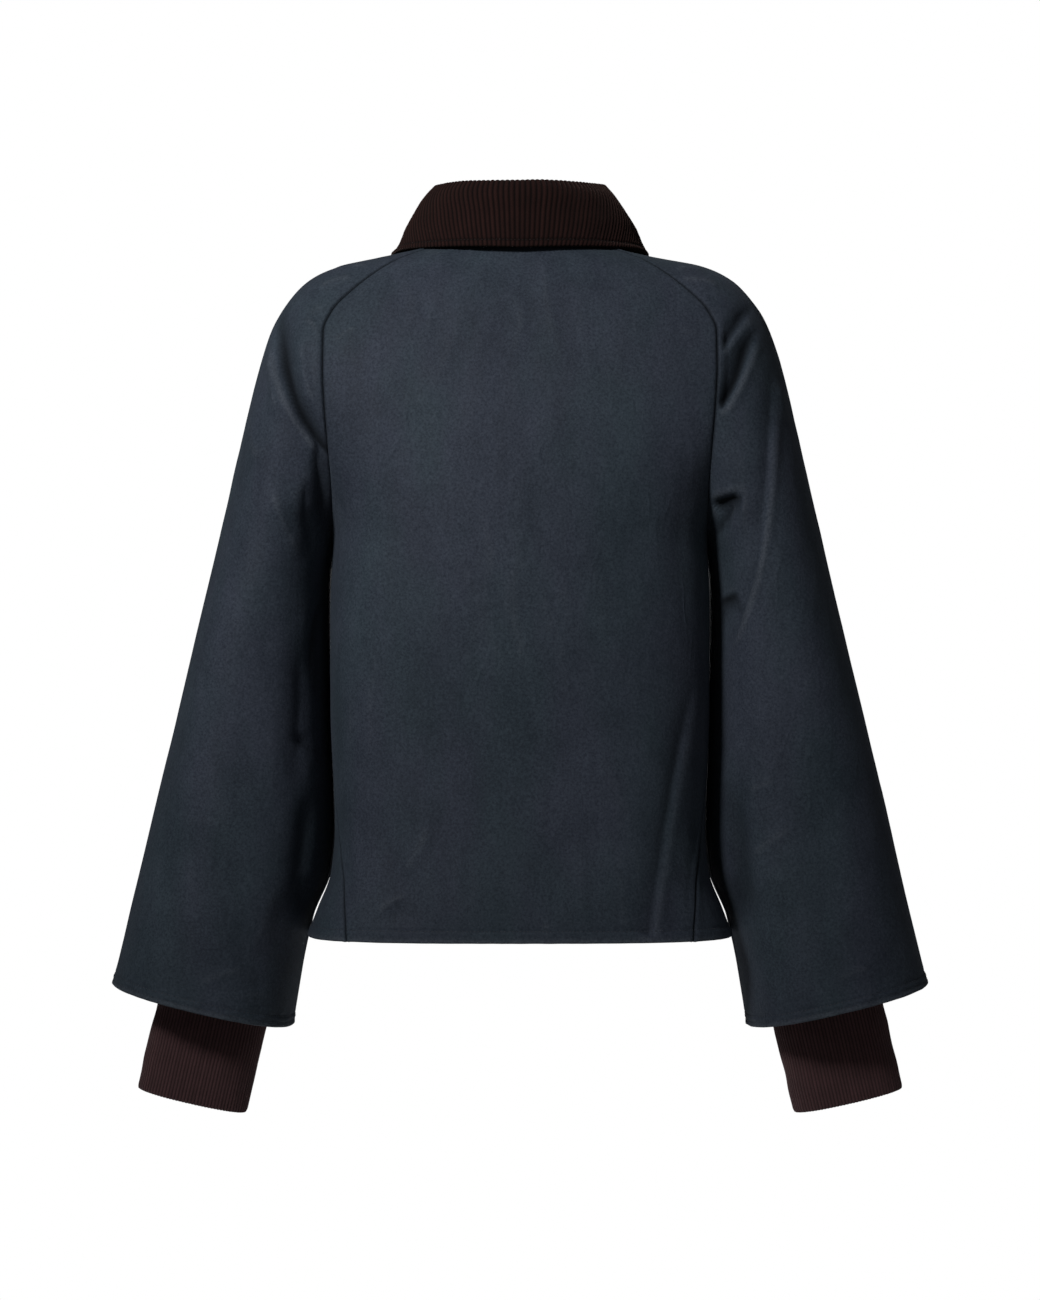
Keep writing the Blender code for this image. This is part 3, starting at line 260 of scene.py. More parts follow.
FRONT_CREASES = columns(
    CREASE,
    (146,  -120,  120,   -190,  126,   -290,  12,  14,  -1.8, 0.30, 0.35, 0),
    (140,  -86,   118,   -96,   96,    -128,  7,   8,   0.9,  0.30, 0.30, 0),
    (96,   -556,  98,    -500,  112,   -430,  16,  14,  -2.4, 0.15, 0.40, 0),
    (52,   -556,  48,    -510,  56,    -450,  15,  15,  1.4,  0.15, 0.45, 0),
    (144,  -350,  136,   -420,  140,   -500,  12,  10,  -2.0, 0.30, 0.30, 0),
    (82,   -250,  72,    -270,  52,    -286,  8,   8,   0.7,  0.30, 0.30, 0),
    (-146, -126,  -122,  -196,  -130,  -280,  13,  12,  -1.8, 0.30, 0.35, 0),
    (-136, -88,   -116,  -104,  -92,   -130,  7,   7,   0.9,  0.30, 0.30, 0),
    (-104, -556,  -100,  -490,  -118,  -420,  14,  16,  -2.2, 0.15, 0.40, 0),
    (-60,  -556,  -66,   -500,  -58,   -440,  15,  15,  1.3,  0.15, 0.45, 0),
    (-142, -360,  -134,  -430,  -140,  -510,  11,  12,  -2.0, 0.30, 0.30, 0),
    (-70,  -330,  -84,   -350,  -104,  -362,  8,   8,   0.7,  0.30, 0.30, 0),
)
EYE_DISTANCE = 3.0          # metres behind the origin
EYE_HEIGHT = -0.3247
CREASE_POINTS = 17
CREASE_REACH = 3.2          # widths within which a crease still shows
LIP_PLACE = 2.3             # of the lip, in widths of the crease's right side
LIP_WIDTH = 1.5
CREASE_SHARPNESS = 1.5      # 2 is a soft bell, 1 has a sharp fold line
# Crease hollows and seam grooves are darkened in colour: painted shade where the troughs would lie in shadow.
DARK_FROM = 2.0             # mm deep, from where a trough is darkened with painted shade
DARK_RANGE = 5.0
DARK_SHARE = 0.85           # of the crease's left width that gets painted shade
LINE_SHARE = 0.75           # of its right width, and half its left, where it is darkest
LINE_DARK = 0.45            # how dark the painted shade of that line is, and of the rest of the hollow
HOLLOW_DARK = 0.55
SOFT_EDGE = 5.0 * MM        # of right width, from where a softer trough is darkened less
FACING = 0.4                # share of the normal over which a crease fades round the side
BODY_CALM = (0.97, 0.75)    # shares of the normal over which form fades where sleeve and front meet

# ---------------------------------------------------------------- fineness
TONGUE_ROWS = 110           # quads up the raglan seam
BODY_ROWS = 140             # quads from the hem to the underarm
RING_ROWS = 184             # quads from the sleeve's hem to the underarm
BACK_HALF = 80              # quads across half of the back
FRONT_COLUMNS = 84
SLEEVE_HALF = 108
CROWDING = 0.7              # how much closer the points lie along a seam
HEM_ZONE = 13.0             # mm over which they also do along a hem
HEM_STEP = 1.0
UNDERARM_BLEND = 0.22       # share of the seam over which it turns away from the rows
SOFT_ROWS = 15              # either side of the underarm, that are smoothed
SOFT_COLUMNS = 12           # over which that fades towards the seams
SOFT_TIMES = 220

CLOTH = 1.6 * MM
SEAM_DEPTH = 1.2 * MM
SEAM_WIDTH = 1.3 * MM
SEAM_SHADE = 0.8            # how far the seam's groove is darkened with painted shade, up to 1
ALLOWANCE = 9.0 * MM        # width of the seam allowance, which lifts the cloth a little
ALLOWANCE_LIFT = 0.35 * MM
SEAM_CALM = 10.0 * MM       # over which creases fade out towards a raglan seam
HEM_STITCH = 9.0 * MM       # from the hem's edge to its sewing
HEM_LIFT = 0.45 * MM
STITCH_SINK = 0.5 * MM
STITCH_WIDTH = 1.2 * MM
PUCKER = 0.28 * MM
PUCKER_LENGTH = 11.0 * MM
PUCKER_REACH = 7.0 * MM
EDGE_ROUNDING = 0.35        # of a wall's thickness
WELD = 1e-6                 # metres within which two points become one
SWELL = 0.70 * MM           # soft unevenness of the cloth
SWELL_LENGTH = 62.0 * MM
CRUMPLE = 0.60 * MM         # fine ridges in the waxed cloth
CRUMPLE_LENGTH = 24.0 * MM
STRETCH = 2.6               # how much longer both are up and down than across
CRUMPLE_SEED = 31.7         # added to the cloth's seed for its crumples, and for where they lie
PATCH_SEED = 11.3
BLUR_TIMES = 5              # of the heights that a ridge is measured against
RIDGE = 0.5 * MM            # over them, at which a ridge is fully rubbed
RIDGE_WEAR = 0.35
RUBBED_WIDTH = 3.0 * MM     # of the rubbed edges
EDGE_WEAR = 0.5


# ---------------------------------------------------------------- curves and sections

def read(table, name, at):
    """A column's value at 'at', on a smooth curve that never overshoots the table's rows."""
    keys = next(iter(table.values()))
    values = table[name]
    steps = np.diff(keys)
    rises = np.diff(values) / steps
    slopes = np.concatenate([rises[:1], rises[:-1], rises[-1:]])
    product = rises[:-1] * rises[1:]
    total = np.where(np.abs(rises[:-1] + rises[1:]) > 1e-12, rises[:-1] + rises[1:], 1.0)
    slopes[1:-1] = np.where(product > 0, 2 * product / total, 0.0)
    at = np.clip(at, keys[0], keys[-1])
    row = np.clip(np.searchsorted(keys, at, side="right") - 1, 0, len(keys) - 2)
    t = (at - keys[row]) / steps[row]
    start = (1 + 2 * t) * (1 - t) ** 2 * values[row] + t * (1 - t) ** 2 * steps[row] * slopes[row]
    end = t * t * (3 - 2 * t) * values[row + 1] + t * t * (t - 1) * steps[row] * slopes[row + 1]
    return start + end


def power(value, exponent):
    """A power that keeps the sign."""
    return np.sign(value) * np.abs(value) ** exponent


def points(x, y, z):
    """A point or an array of them, from coordinates that are numbers or arrays."""
    return np.stack(np.broadcast_arrays(x, y, z), axis=-1).astype(float)


def ease(value):
    """0 below 0, 1 above 1, and smooth between them."""
    value = np.clip(value, 0.0, 1.0)
    return value * value * (3 - 2 * value)


def lengths_along(grid, axis):
    """How far each point lies from the first, along the rows (axis 0) or the columns (axis 1)."""
    steps = np.linalg.norm(np.diff(grid, axis=axis), axis=-1)
    start = np.zeros_like(np.take(steps, [0], axis=axis))
    return np.concatenate([start, np.cumsum(steps, axis=axis)], axis=axis)


def along_line(at, keys, line):
    """The line's points at 'at', where keys say how far along it each of its own lies."""
    return np.stack([np.interp(at, keys, line[:, axis]) for axis in range(3)], axis=-1)


def spread(curve, places):
    """The curve's points at shares of its length."""
    along = lengths_along(curve, 0)
    return along_line(places * along[-1], along, curve)


def towards_seam(count):
    """Shares of a length, closer together at its end."""
    t = np.linspace(0.0, 1.0, count + 1)
    return t * (1 + CROWDING * (1 - t))


def from_seam(count):
    """Shares of a length, closer together at its start."""
    return 1 - towards_seam(count)[::-1]


def between_seams(count):
    """Shares of a length, closer together at both ends."""
    t = np.linspace(0.0, 1.0, count + 1)
    return t - CROWDING * np.sin(2 * math.pi * t) / (2 * math.pi)


def from_hem(length, count):
    """Shares of a length in mm, close together over the hem and then even."""
    fine = np.arange(0.0, HEM_ZONE, HEM_STEP)
    rest = np.linspace(HEM_ZONE, length, count - len(fine) + 1)
    return np.concatenate([fine, rest]) / length


def neck(turn):
    """The neck seam at an angle round from the back, on the wearer's left."""
    angle = np.radians(turn)
    middle = (NECK_BACK + NECK_FRONT) / 2
    reach = (NECK_BACK - NECK_FRONT) / 2
    return points(NECK_WIDTH * np.sin(angle), middle + reach * np.cos(angle),
                  read(NECK_HEIGHT, "z", turn) * MM)


def torso_curve(z, start, end):
    """A stretch of the body's section at a height in mm, between two angles from the back."""
    angle = np.radians(np.linspace(start, end, DENSE))
    power_of = 2 / TORSO_BOXINESS
    depth = np.where(np.cos(angle) >= 0, read(TORSO, "back", z), read(TORSO, "front", z))
    x = read(TORSO, "width", z) * power(np.sin(angle), power_of)
    y = depth * power(np.cos(angle), power_of)
    return points(x * MM, y * MM, z * MM)


def near_neck(share):
    """How far a row up the raglan seam has gone over to the neck seam."""
    return max(0.0, (share - NECK_START) / (1.0 - NECK_START))


def boxiness(share):
    """How square the sleeve's section is; it is rounder near the underarm."""
    near = max(0.0, 1.0 - share / UNDERARM_RELIEF)
    return SLEEVE_BOXINESS + (UNDERARM_BOXINESS - SLEEVE_BOXINESS) * near


def seam_point(share, face):
    """A point of the raglan seam; face is +1 on the back and -1 on the front."""
    name = "back" if face > 0 else "front"
    turn = np.radians(read(RAGLAN, "turn", share))
    reach = read(RAGLAN, "depth", share) * np.abs(np.cos(turn)) ** (2 / boxiness(share))
    y = read(RAGLAN, "mid_y", share) + face * reach
    point = points(read(RAGLAN, name + "_x", share) * MM, y * MM, read(RAGLAN, name + "_z", share) * MM)
    at_neck = neck(BACK_NECK_TURN if face > 0 else FRONT_NECK_TURN)
    return point + (at_neck - point) * near_neck(share)


def shoulder_curve(share, face):
    """The body's section above the underarm, from the centre or front edge to the raglan seam."""
    seam = seam_point(share, face)
    name = "back" if face > 0 else "front"
    centre = (0.0 if face > 0 else FRONT_EDGE, read(CENTRES, name + "_y", share) * MM,
              read(CENTRES, name + "_z", share) * MM)
    stop = math.radians(read(SHOULDER, "stop", share))
    angle = np.linspace(0.0, stop, DENSE)
    power_of = 2 / read(SHOULDER, "boxiness", share)
    across = (np.sin(angle) / math.sin(stop)) ** power_of
    side = math.cos(stop) ** power_of
    deep = (np.cos(angle) ** power_of - side) / (1 - side)
    rise = across ** read(SHOULDER, "rise", share)
    curve = points(centre[0] + (seam[0] - centre[0]) * across,
                   seam[1] + (centre[1] - seam[1]) * deep,
                   centre[2] + (seam[2] - centre[2]) * rise)
    start, end = (0.0, BACK_NECK_TURN) if face > 0 else (NECK_END_TURN, FRONT_NECK_TURN)
    rim = neck(np.linspace(start, end, DENSE))
    along = lengths_along(curve, 0)
    rim = along_line(along / along[-1], np.linspace(0.0, 1.0, DENSE), rim)
    return curve + (rim - curve) * near_neck(share)


def half_ring(share, seam, outer, turn, depth, mid_y, face):
    """Half of a sleeve section, from its seam (or underarm) point round to its outer line."""
    start = math.radians(turn)
    angle = np.linspace(start, math.pi / 2, DENSE)
    power_of = 2 / boxiness(share)
    lift = float(power(math.sin(start), power_of))
    middle = (seam - lift * outer) / (1 - lift)
    across = power(np.sin(angle), power_of)[:, None]
    curve = middle + (outer - middle) * across
    curve[:, 1] = mid_y + face * depth * power(np.cos(angle), power_of)
    return curve


def side_point(table, side, share):
    """The point that a table gives on the sleeve's inner or outer line."""
    return points(read(table, side + "_x", share) * MM, 0.0, read(table, side + "_z", share) * MM)


def whole_row(halves):
    """A sleeve section from its front half and its back half."""
    front, back = (spread(half, from_seam(SLEEVE_HALF)) for half in halves)
    return np.concatenate([front, back[-2::-1]])


def tongue_row(share):
    """A sleeve section above the underarm, from the front seam over the shoulder to the back seam."""
    outer = side_point(RAGLAN, "outer", share)
    turn = read(RAGLAN, "turn", share)
    depth = read(RAGLAN, "depth", share) * MM
    mid_y = read(RAGLAN, "mid_y", share) * MM
    halves = []
    for face in (-1, 1):
        curve = half_ring(share, seam_point(share, face), outer, turn, depth, mid_y, face)
        turns = np.linspace(BACK_NECK_TURN if face > 0 else FRONT_NECK_TURN, SHOULDER_TURN, DENSE)
        halves.append(curve + (neck(turns) - curve) * near_neck(share))
    return whole_row(halves)


def press_to_body(curve, share):
    """Half a sleeve section with its inner side laid towards the body."""
    inner_x, outer_x = curve[0, 0], curve[-1, 0]
    inside = np.clip(1 - 2 * (curve[:, 0] - inner_x) / (outer_x - inner_x), 0.0, 1.0)
    reach = np.exp(-((curve[:, 1] - PRESS_Y) / PRESS_WIDTH) ** 2)
    curve[:, 0] -= read(SLEEVE, "press", share) * MM * inside * reach
    return curve


def ring_row(share):
    """A closed sleeve section below the underarm, starting and ending at its inner line."""
    inner, outer = side_point(SLEEVE, "inner", share), side_point(SLEEVE, "outer", share)
    depth = read(SLEEVE, "depth", share) * MM
    mid_y = read(SLEEVE, "mid_y", share) * MM
    halves = []
    for face in (-1, 1):
        curve = half_ring(share, inner, outer, -90.0, depth, mid_y, face)
        halves.append(press_to_body(curve, share))
    return whole_row(halves)


# ---------------------------------------------------------------- grids of the cloth pieces

def tongue_shares():
    """Shares of the raglan seam, one for each row above the underarm."""
    return np.linspace(0.0, 1.0, TONGUE_ROWS + 1)


def body_heights():
    """Heights in mm of the body's rows below the underarm."""
    low, high = TORSO["z"][0], TORSO["z"][-1]
    return (low + (high - low) * from_hem(high - low, BODY_ROWS))[:-1]


def back_grid():
    """Rows from the hem to the neck; columns from the wearer's left to the right."""
    places = towards_seam(BACK_HALF)
    rows = [spread(torso_curve(z, 0.0, read(TORSO, "side_turn", z)), places) for z in body_heights()]
    rows += [spread(shoulder_curve(share, 1), places) for share in tongue_shares()]
    half = np.array(rows)
    return np.concatenate([half[:, ::-1], half[:, 1:] * (-1, 1, 1)], axis=1)


def left_front_grid():
    """Rows from the hem to the neck; columns from the front edge to the side."""
    places = between_seams(FRONT_COLUMNS)
    rows = []
    for z in body_heights():
        width = read(TORSO, "width", z) * MM
        edge_turn = 180.0 - math.degrees(math.asin((FRONT_EDGE / width) ** (TORSO_BOXINESS / 2)))
        rows.append(spread(torso_curve(z, edge_turn, read(TORSO, "side_turn", z)), places))
    rows += [spread(shoulder_curve(share, -1), places) for share in tongue_shares()]
    return np.array(rows)


def left_sleeve_grid():
    """Rows from the hem to the neck; columns from the front seam over the outside to the back."""
    inner_length = SLEEVE["inner_z"][0] - SLEEVE["inner_z"][-1]
    rows = [ring_row(share) for share in 1 - from_hem(inner_length, RING_ROWS)[:-1]]
    rows += [tongue_row(share) for share in tongue_shares()]
    return np.array(rows)


def softened(grid, row, seam_columns):
    """The grid with its bend across a row smoothed, except along its seams."""
    grid = grid.copy()
    rows, wide = grid.shape[:2]
    from_seams = np.min([np.abs(np.arange(wide) - column % wide) for column in seam_columns], axis=0)
    share = ease(1 - np.abs(np.arange(rows) - row) / SOFT_ROWS)[:, None] * ease(from_seams / SOFT_COLUMNS)
    for _ in range(SOFT_TIMES):
        grid[1:-1] += ((grid[:-2] + grid[2:]) / 2 - grid[1:-1]) * share[1:-1, :, None] / 2
    return grid


def mirrored(grid):
    """The grid on the wearer's right, with its columns turned so that it still faces out."""
    return grid[:, ::-1] * (-1, 1, 1)


def unit(vectors):
    """The vectors, each 1 long."""
    return vectors / np.maximum(np.linalg.norm(vectors, axis=-1, keepdims=True), 1e-12)


def grid_normals(grid, closed_rows=0, underarm=None, lean=0.0):
    """Unit normals of a grid whose first closed_rows rows are rings.

    Near the underarm row the upward direction is taken over by one that leans, as on the solids.
    """
    across = np.gradient(grid, axis=1)
    if closed_rows:
        wrap = (grid[:closed_rows, 1] - grid[:closed_rows, -2]) / 2
        across[:closed_rows, 0] = wrap
        across[:closed_rows, -1] = wrap
    along = unit(np.gradient(grid, axis=0))
    if underarm is not None:
        rows_away = np.abs(np.arange(len(grid)) - underarm)
        natural = ease(rows_away / (UNDERARM_BLEND * TONGUE_ROWS))[:, None, None]
        along = along * natural + unit(np.array([lean, 0.0, 1.0])) * (1 - natural)
    return unit(np.cross(across, along))


def share_normals(first, first_part, second, second_part):
    """Two edges that are sewn together get the same normals."""
    a, b = first[first_part], second[second_part]
    alike = (a * b).sum(axis=-1, keepdims=True) > 0.2
    both = unit(a + b)
    first[first_part] = np.where(alike, both, a)
    second[second_part] = np.where(alike, both, b)


# ---------------------------------------------------------------- form on the cloth

def as_seen(grid, from_behind):
    """Where each point shows in the plane of the origin, from behind or straight from the front."""
    flat = grid[..., (0, 2)]
    if not from_behind:
        return flat
    nearer = EYE_DISTANCE / (EYE_DISTANCE - grid[..., 1:2])
    eye = np.array([0.0, EYE_HEIGHT])
    return eye + (flat - eye) * nearer


def crease_path(creases, row):
    """Points along one crease of a table."""
    t = np.linspace(0.0, 1.0, CREASE_POINTS)[:, None]
    start, bend, end = (np.array([creases[name + "_x"][row], creases[name + "_z"][row]]) * MM
                        for name in ("start", "bend", "end"))
    return (1 - t) ** 2 * start + 2 * t * (1 - t) * bend + t * t * end


def crease_heights(grid, creases, from_behind):
    """How far the creases of a table lift or sink each point of a grid, and how much painted shade they put
    in their hollows.
    """
    places = as_seen(grid, from_behind)
    heights = np.zeros(grid.shape[:2])
    shade = np.zeros(grid.shape[:2])
    for row in range(len(creases["depth"])):
        path = crease_path(creases, row)
        right, left = creases["right"][row] * MM, creases["left"][row] * MM
        reach = CREASE_REACH * max(right, left)
        near = ((places > path.min(axis=0) - reach) & (places < path.max(axis=0) + reach)).all(axis=-1)
        if not near.any():
            continue
        spots = places[near]
        distance = np.full(len(spots), np.inf)
        along = np.zeros(len(spots))
        hand = np.zeros(len(spots))
        for index, (a, b) in enumerate(zip(path[:-1], path[1:])):
            step = b - a
            share = np.clip(((spots - a) @ step) / (step @ step), 0.0, 1.0)
            gap = spots - a - share[:, None] * step
            length = np.linalg.norm(gap, axis=1)
            closer = length < distance
            distance = np.where(closer, length, distance)
            along = np.where(closer, (index + share) / (CREASE_POINTS - 1), along)
            hand = np.where(closer, step[0] * gap[:, 1] - step[1] * gap[:, 0], hand)
        form = np.exp(-(distance / np.where(hand > 0, right, left)) ** CREASE_SHARPNESS)
        rise = np.exp(-((distance - LIP_PLACE * right) / (LIP_WIDTH * right)) ** 2) * (hand > 0)
        depth = creases["depth"][row]
        fade = ease(along / creases["head"][row]) * ease((1 - along) / creases["tail"][row])
        heights[near] += depth * MM * fade * (form - creases["lip"][row] * rise)
        # painted shade: the trough's fold line and hollow are darkened in colour, deeper troughs more
        dark = min(1.0, max(0.0, (-depth - DARK_FROM) / DARK_RANGE)) * min(1.0, SOFT_EDGE / right)
        line = np.exp(-(distance / np.where(hand > 0, LINE_SHARE * right, LINE_SHARE * left / 2)) ** 2)
        hollow = np.exp(-(distance / np.where(hand > 0, right, DARK_SHARE * left)) ** 2)
        darkness = dark * np.sqrt(fade) * (LINE_DARK * line + HOLLOW_DARK * hollow)
        shade[near] = np.maximum(shade[near], darkness)
    return heights, shade


def soft_noise(grid, length, stretch, seed):
    """Smooth noise from about -1 to 1 on the points of a grid."""
    scaled = grid / np.array([length, length, length * stretch]) + seed
    return np.array([noise.noise(Vector(p)) for p in scaled.reshape(-1, 3)]).reshape(grid.shape[:2])


def uneven(grid, seed):
    """The cloth's soft swells and fine crumples."""
    swell = soft_noise(grid, SWELL_LENGTH, STRETCH, seed)
    ridges = 0.5 - np.abs(soft_noise(grid, CRUMPLE_LENGTH, STRETCH, seed + CRUMPLE_SEED)) * 2
    patches = ease(0.5 + soft_noise(grid, 2 * SWELL_LENGTH, 1.0, seed + PATCH_SEED))
    return SWELL * swell * 2 + CRUMPLE * ridges * patches


def hem_form(grid, from_edge, seed, place):
    """The doubled edge, its sunk line of sewing at a place from it, and the puckers beside it."""
    lift = HEM_LIFT * ease((place - from_edge) / STITCH_WIDTH / 2 + 0.5)
    sink = STITCH_SINK * np.exp(-((from_edge - place) / STITCH_WIDTH) ** 2)
    pucker = PUCKER * soft_noise(grid, PUCKER_LENGTH, 1.0, seed) * 2
    return lift - sink + pucker * np.exp(-((from_edge - place) / PUCKER_REACH) ** 2)


def seam_form(from_edge):
    """The groove of a seam, and the lift of its allowance."""
    groove = SEAM_DEPTH * np.exp(-(from_edge / SEAM_WIDTH) ** 2)
    return ALLOWANCE_LIFT * ease((ALLOWANCE - from_edge) / ALLOWANCE * 2) - groove


def lowest_nearby(heights):
    """Each point's least height within two steps, so that a coarser inner side stays below."""
    for axis in (0, 1):
        start, end = (np.take(heights, [at, at], axis) for at in (0, -1))
        padded = np.concatenate([start, heights, end], axis)
        count = heights.shape[axis]
        heights = np.min([np.take(padded, range(shift, shift + count), axis) for shift in range(5)], axis=0)
    return heights


# ---------------------------------------------------------------- meshes

def quads(numbers):
    """Four-sided faces of a grid of vertex numbers."""
    corners = (numbers[:-1, :-1], numbers[:-1, 1:], numbers[1:, 1:], numbers[1:, :-1])
    return np.stack(corners, axis=-1).reshape(-1, 4)


def fan(first, second):
    """Triangles between a row and a coarser one; the first has a whole multiple of its steps."""
    ratio = (len(first) - 1) // (len(second) - 1)
    faces = []
    for panel in range(len(second) - 1):
        start = panel * ratio
        half = start + ratio // 2
        faces += [(first[i], first[i + 1], second[panel]) for i in range(start, half)]
        faces.append((first[half], second[panel + 1], second[panel]))
        faces += [(first[i], first[i + 1], second[panel + 1]) for i in range(half, start + ratio)]
    return faces


def linked(name, data):
    """An object for a mesh, light or camera, in the scene."""
    made = bpy.data.objects.new(name, data)
    bpy.context.scene.collection.objects.link(made)
    return made


def from_bmesh(work, name):
    """An object from a bmesh, which is freed."""
    mesh = bpy.data.meshes.new(name)
    work.to_mesh(mesh)
    work.free()
    return linked(name, mesh)


def cloth_object(name, vertices, faces, material, uv, wear):
    """A smooth mesh object at the origin; points in the same place are welded."""
    mesh = bpy.data.meshes.new(name)
    mesh.from_pydata(vertices.tolist(), [], faces)
    corner = np.empty(len(mesh.loops), int)
    mesh.loops.foreach_get("vertex_index", corner)
    mesh.uv_layers.new(name="cloth").data.foreach_set("uv", uv[corner].ravel())
    mesh.attributes.new("wear", "FLOAT", "POINT").data.foreach_set("value", wear)
    work = bmesh.new()
    work.from_mesh(mesh)
    bmesh.ops.remove_doubles(work, verts=work.verts, dist=WELD)
    work.to_mesh(mesh)
    work.free()
    mesh.shade_smooth()
    mesh.materials.append(material)
    return linked(name, mesh)


def wall(name, outer, inner, material, side_rows=None, wear=None, step=(2, 2)):
    """A closed cloth wall, rounded at its first and last row.

    The inner side has every step-th point. side_rows are the first and last of the rows whose
    sides are open and have to be closed.
    """
    rows, wide = outer.shape[:2]
    coarse = inner[::step[0], ::step[1]]
    across = lengths_along(outer, 1)
    flat = np.stack([across - across[:, -1:] / 2, lengths_along(outer, 0)], axis=-1)
    out = np.arange(rows * wide).reshape(rows, wide)
    inn = np.arange(coarse.shape[0] * coarse.shape[1]).reshape(coarse.shape[:2]) + out.size
    vertices = [outer.reshape(-1, 3), coarse.reshape(-1, 3)]
    uv = [flat.reshape(-1, 2), flat[::step[0], ::step[1]].reshape(-1, 2)]
    faces = quads(out).tolist() + quads(inn)[:, ::-1].tolist()
    total = out.size + inn.size
    for row, beside, turned in ((0, 1, True), (-1, -2, False)):
        inside = outer[row] - outer[beside]
        thick = np.linalg.norm(outer[row] - inner[row], axis=1, keepdims=True)
        vertices.append((outer[row] + inner[row]) / 2 + unit(inside) * thick * EDGE_ROUNDING)
        uv.append(flat[row])
        ring = np.arange(wide) + total
        total += wide
        strip = quads(np.stack([out[row], ring]))
        faces += (strip[:, ::-1] if turned else strip).tolist()
        rim = fan(ring, inn[row])
        faces += [face[::-1] for face in rim] if turned else rim
    if side_rows:
        first, last = side_rows
        fine, plain = slice(first, last + 1), slice(first // step[0], last // step[0] + 1)
        faces += fan(out[fine, 0], inn[plain, 0])
        faces += [face[::-1] for face in fan(out[fine, -1], inn[plain, -1])]
    faces = [tuple(int(i) for i in face) for face in faces]
    vertices, uv = np.concatenate(vertices), np.concatenate(uv)
    # these per-point marks carry rubbed wear, painted shade in creases and seams, and the pile's height
    worn = np.zeros(len(vertices))
    if wear is not None:
        worn[:out.size] = wear.ravel()
    return cloth_object(name, vertices, faces, material, uv, worn)


def line_at(grid, normals, from_edge, distance):
    """Points and normals a distance from the grid's first row, one for each column."""
    places, ways = [], []
    for column in range(grid.shape[1]):
        at = from_edge[:, column]
        places.append(along_line(distance, at, grid[:, column]))
        ways.append(along_line(distance, at, normals[:, column]))
    return np.array(places), unit(np.array(ways))


def repeat_tree():
    """The node tree that sets an item along a path, square to the path's own outward direction."""
    name = "repeat_on_path"
    if name in bpy.data.node_groups:
        return bpy.data.node_groups[name]
    tree = bpy.data.node_groups.new(name, "GeometryNodeTree")
    for label, kind in (("Path", "Geometry"), ("Item", "Object"), ("Spacing", "Float"),
                        ("Unevenness", "Float"), ("Seed", "Int"), ("Finish", "Material")):
        tree.interface.new_socket(name=label, in_out="INPUT", socket_type="NodeSocket" + kind)
    tree.interface.new_socket(name="Geometry", in_out="OUTPUT", socket_type="NodeSocketGeometry")
    given = tree.nodes.new("NodeGroupInput").outputs
    curve = add_node(tree, "GeometryNodeMeshToCurve", {"Mesh": given["Path"]})
    even = add_node(tree, "GeometryNodeResampleCurve",
                    {"Curve": curve.outputs[0], "Length": given["Spacing"]}, mode="LENGTH")
    outward = add_node(tree, "GeometryNodeInputNamedAttribute", {"Name": "outward"}, data_type="FLOAT_VECTOR")
    tangent = add_node(tree, "GeometryNodeInputTangent")
    upright = add_node(tree, "FunctionNodeAlignRotationToVector", {"Vector": outward.outputs[0]}, axis="Z")
    turned = add_node(tree, "FunctionNodeAlignRotationToVector",
                      {"Rotation": upright.outputs[0], "Vector": tangent.outputs[0]},
                      axis="X", pivot_axis="Z")
    smallest = add_node(tree, "ShaderNodeMath", {0: 1.0, 1: given["Unevenness"]}, operation="SUBTRACT")
    size = add_node(tree, "FunctionNodeRandomValue",
                    {2: smallest.outputs[0], 3: 1.0, "Seed": given["Seed"]}, data_type="FLOAT")
    placed = add_node(tree, "GeometryNodeObjectInfo", {"Object": given["Item"]})
    items = add_node(tree, "GeometryNodeInstanceOnPoints",
                     {"Points": even.outputs[0], "Instance": placed.outputs["Geometry"],
                      "Rotation": turned.outputs[0], "Scale": size.outputs[1]})
    real = add_node(tree, "GeometryNodeRealizeInstances", {"Geometry": items.outputs[0]})
    finished = add_node(tree, "GeometryNodeSetMaterial",
                        {"Geometry": real.outputs[0], "Material": given["Finish"]})
    done = tree.nodes.new("NodeGroupOutput")
    tree.links.new(finished.outputs[0], done.inputs["Geometry"])
    return tree


def repeat_along(name, lines, item, spacing, unevenness, seed, material):
    """An item set along lines of points, each with its outward directions, as one plain mesh."""
    vertices = np.concatenate([line for line, _ in lines])
    outward = np.concatenate([ways for _, ways in lines])
    edges, start = [], 0
    for line, _ in lines:
        edges += [(start + i, start + i + 1) for i in range(len(line) - 1)]
        start += len(line)
    path = bpy.data.meshes.new(name + "_path")
    path.from_pydata(vertices.tolist(), edges, [])
    path.attributes.new("outward", "FLOAT_VECTOR", "POINT").data.foreach_set("vector", outward.ravel())
    made = linked(name, path)
    tree = repeat_tree()
    modifier = made.modifiers.new("repeat", "NODES")
    modifier.node_group = tree
    values = {"Item": item, "Spacing": spacing, "Unevenness": unevenness, "Seed": seed, "Finish": material}
    for socket in tree.interface.items_tree:
        if socket.in_out == "INPUT" and socket.name in values:
            modifier[socket.identifier] = values[socket.name]
    mesh = plain_mesh(made)
    made.modifiers.clear()
    made.data = mesh
    mesh.shade_smooth()
    bpy.data.objects.remove(item)
    return made


def plain_mesh(made):
    """The object's mesh with its modifiers applied."""
    bpy.context.view_layer.update()
    seen = made.evaluated_get(bpy.context.evaluated_depsgraph_get())
    return bpy.data.meshes.new_from_object(seen)


# ---------------------------------------------------------------- finishes

WAVE_PERIOD = 0.31416       # of the wave texture at scale 1
THREAD_PITCH = 0.55 * MM
LOOP_PITCH = 1.1 * MM       # of the knit's rows
# the near-black blue of the painted shade in creases and seams
PAINTED_SHADE_COLOUR = (0.0022, 0.0030, 0.0044)


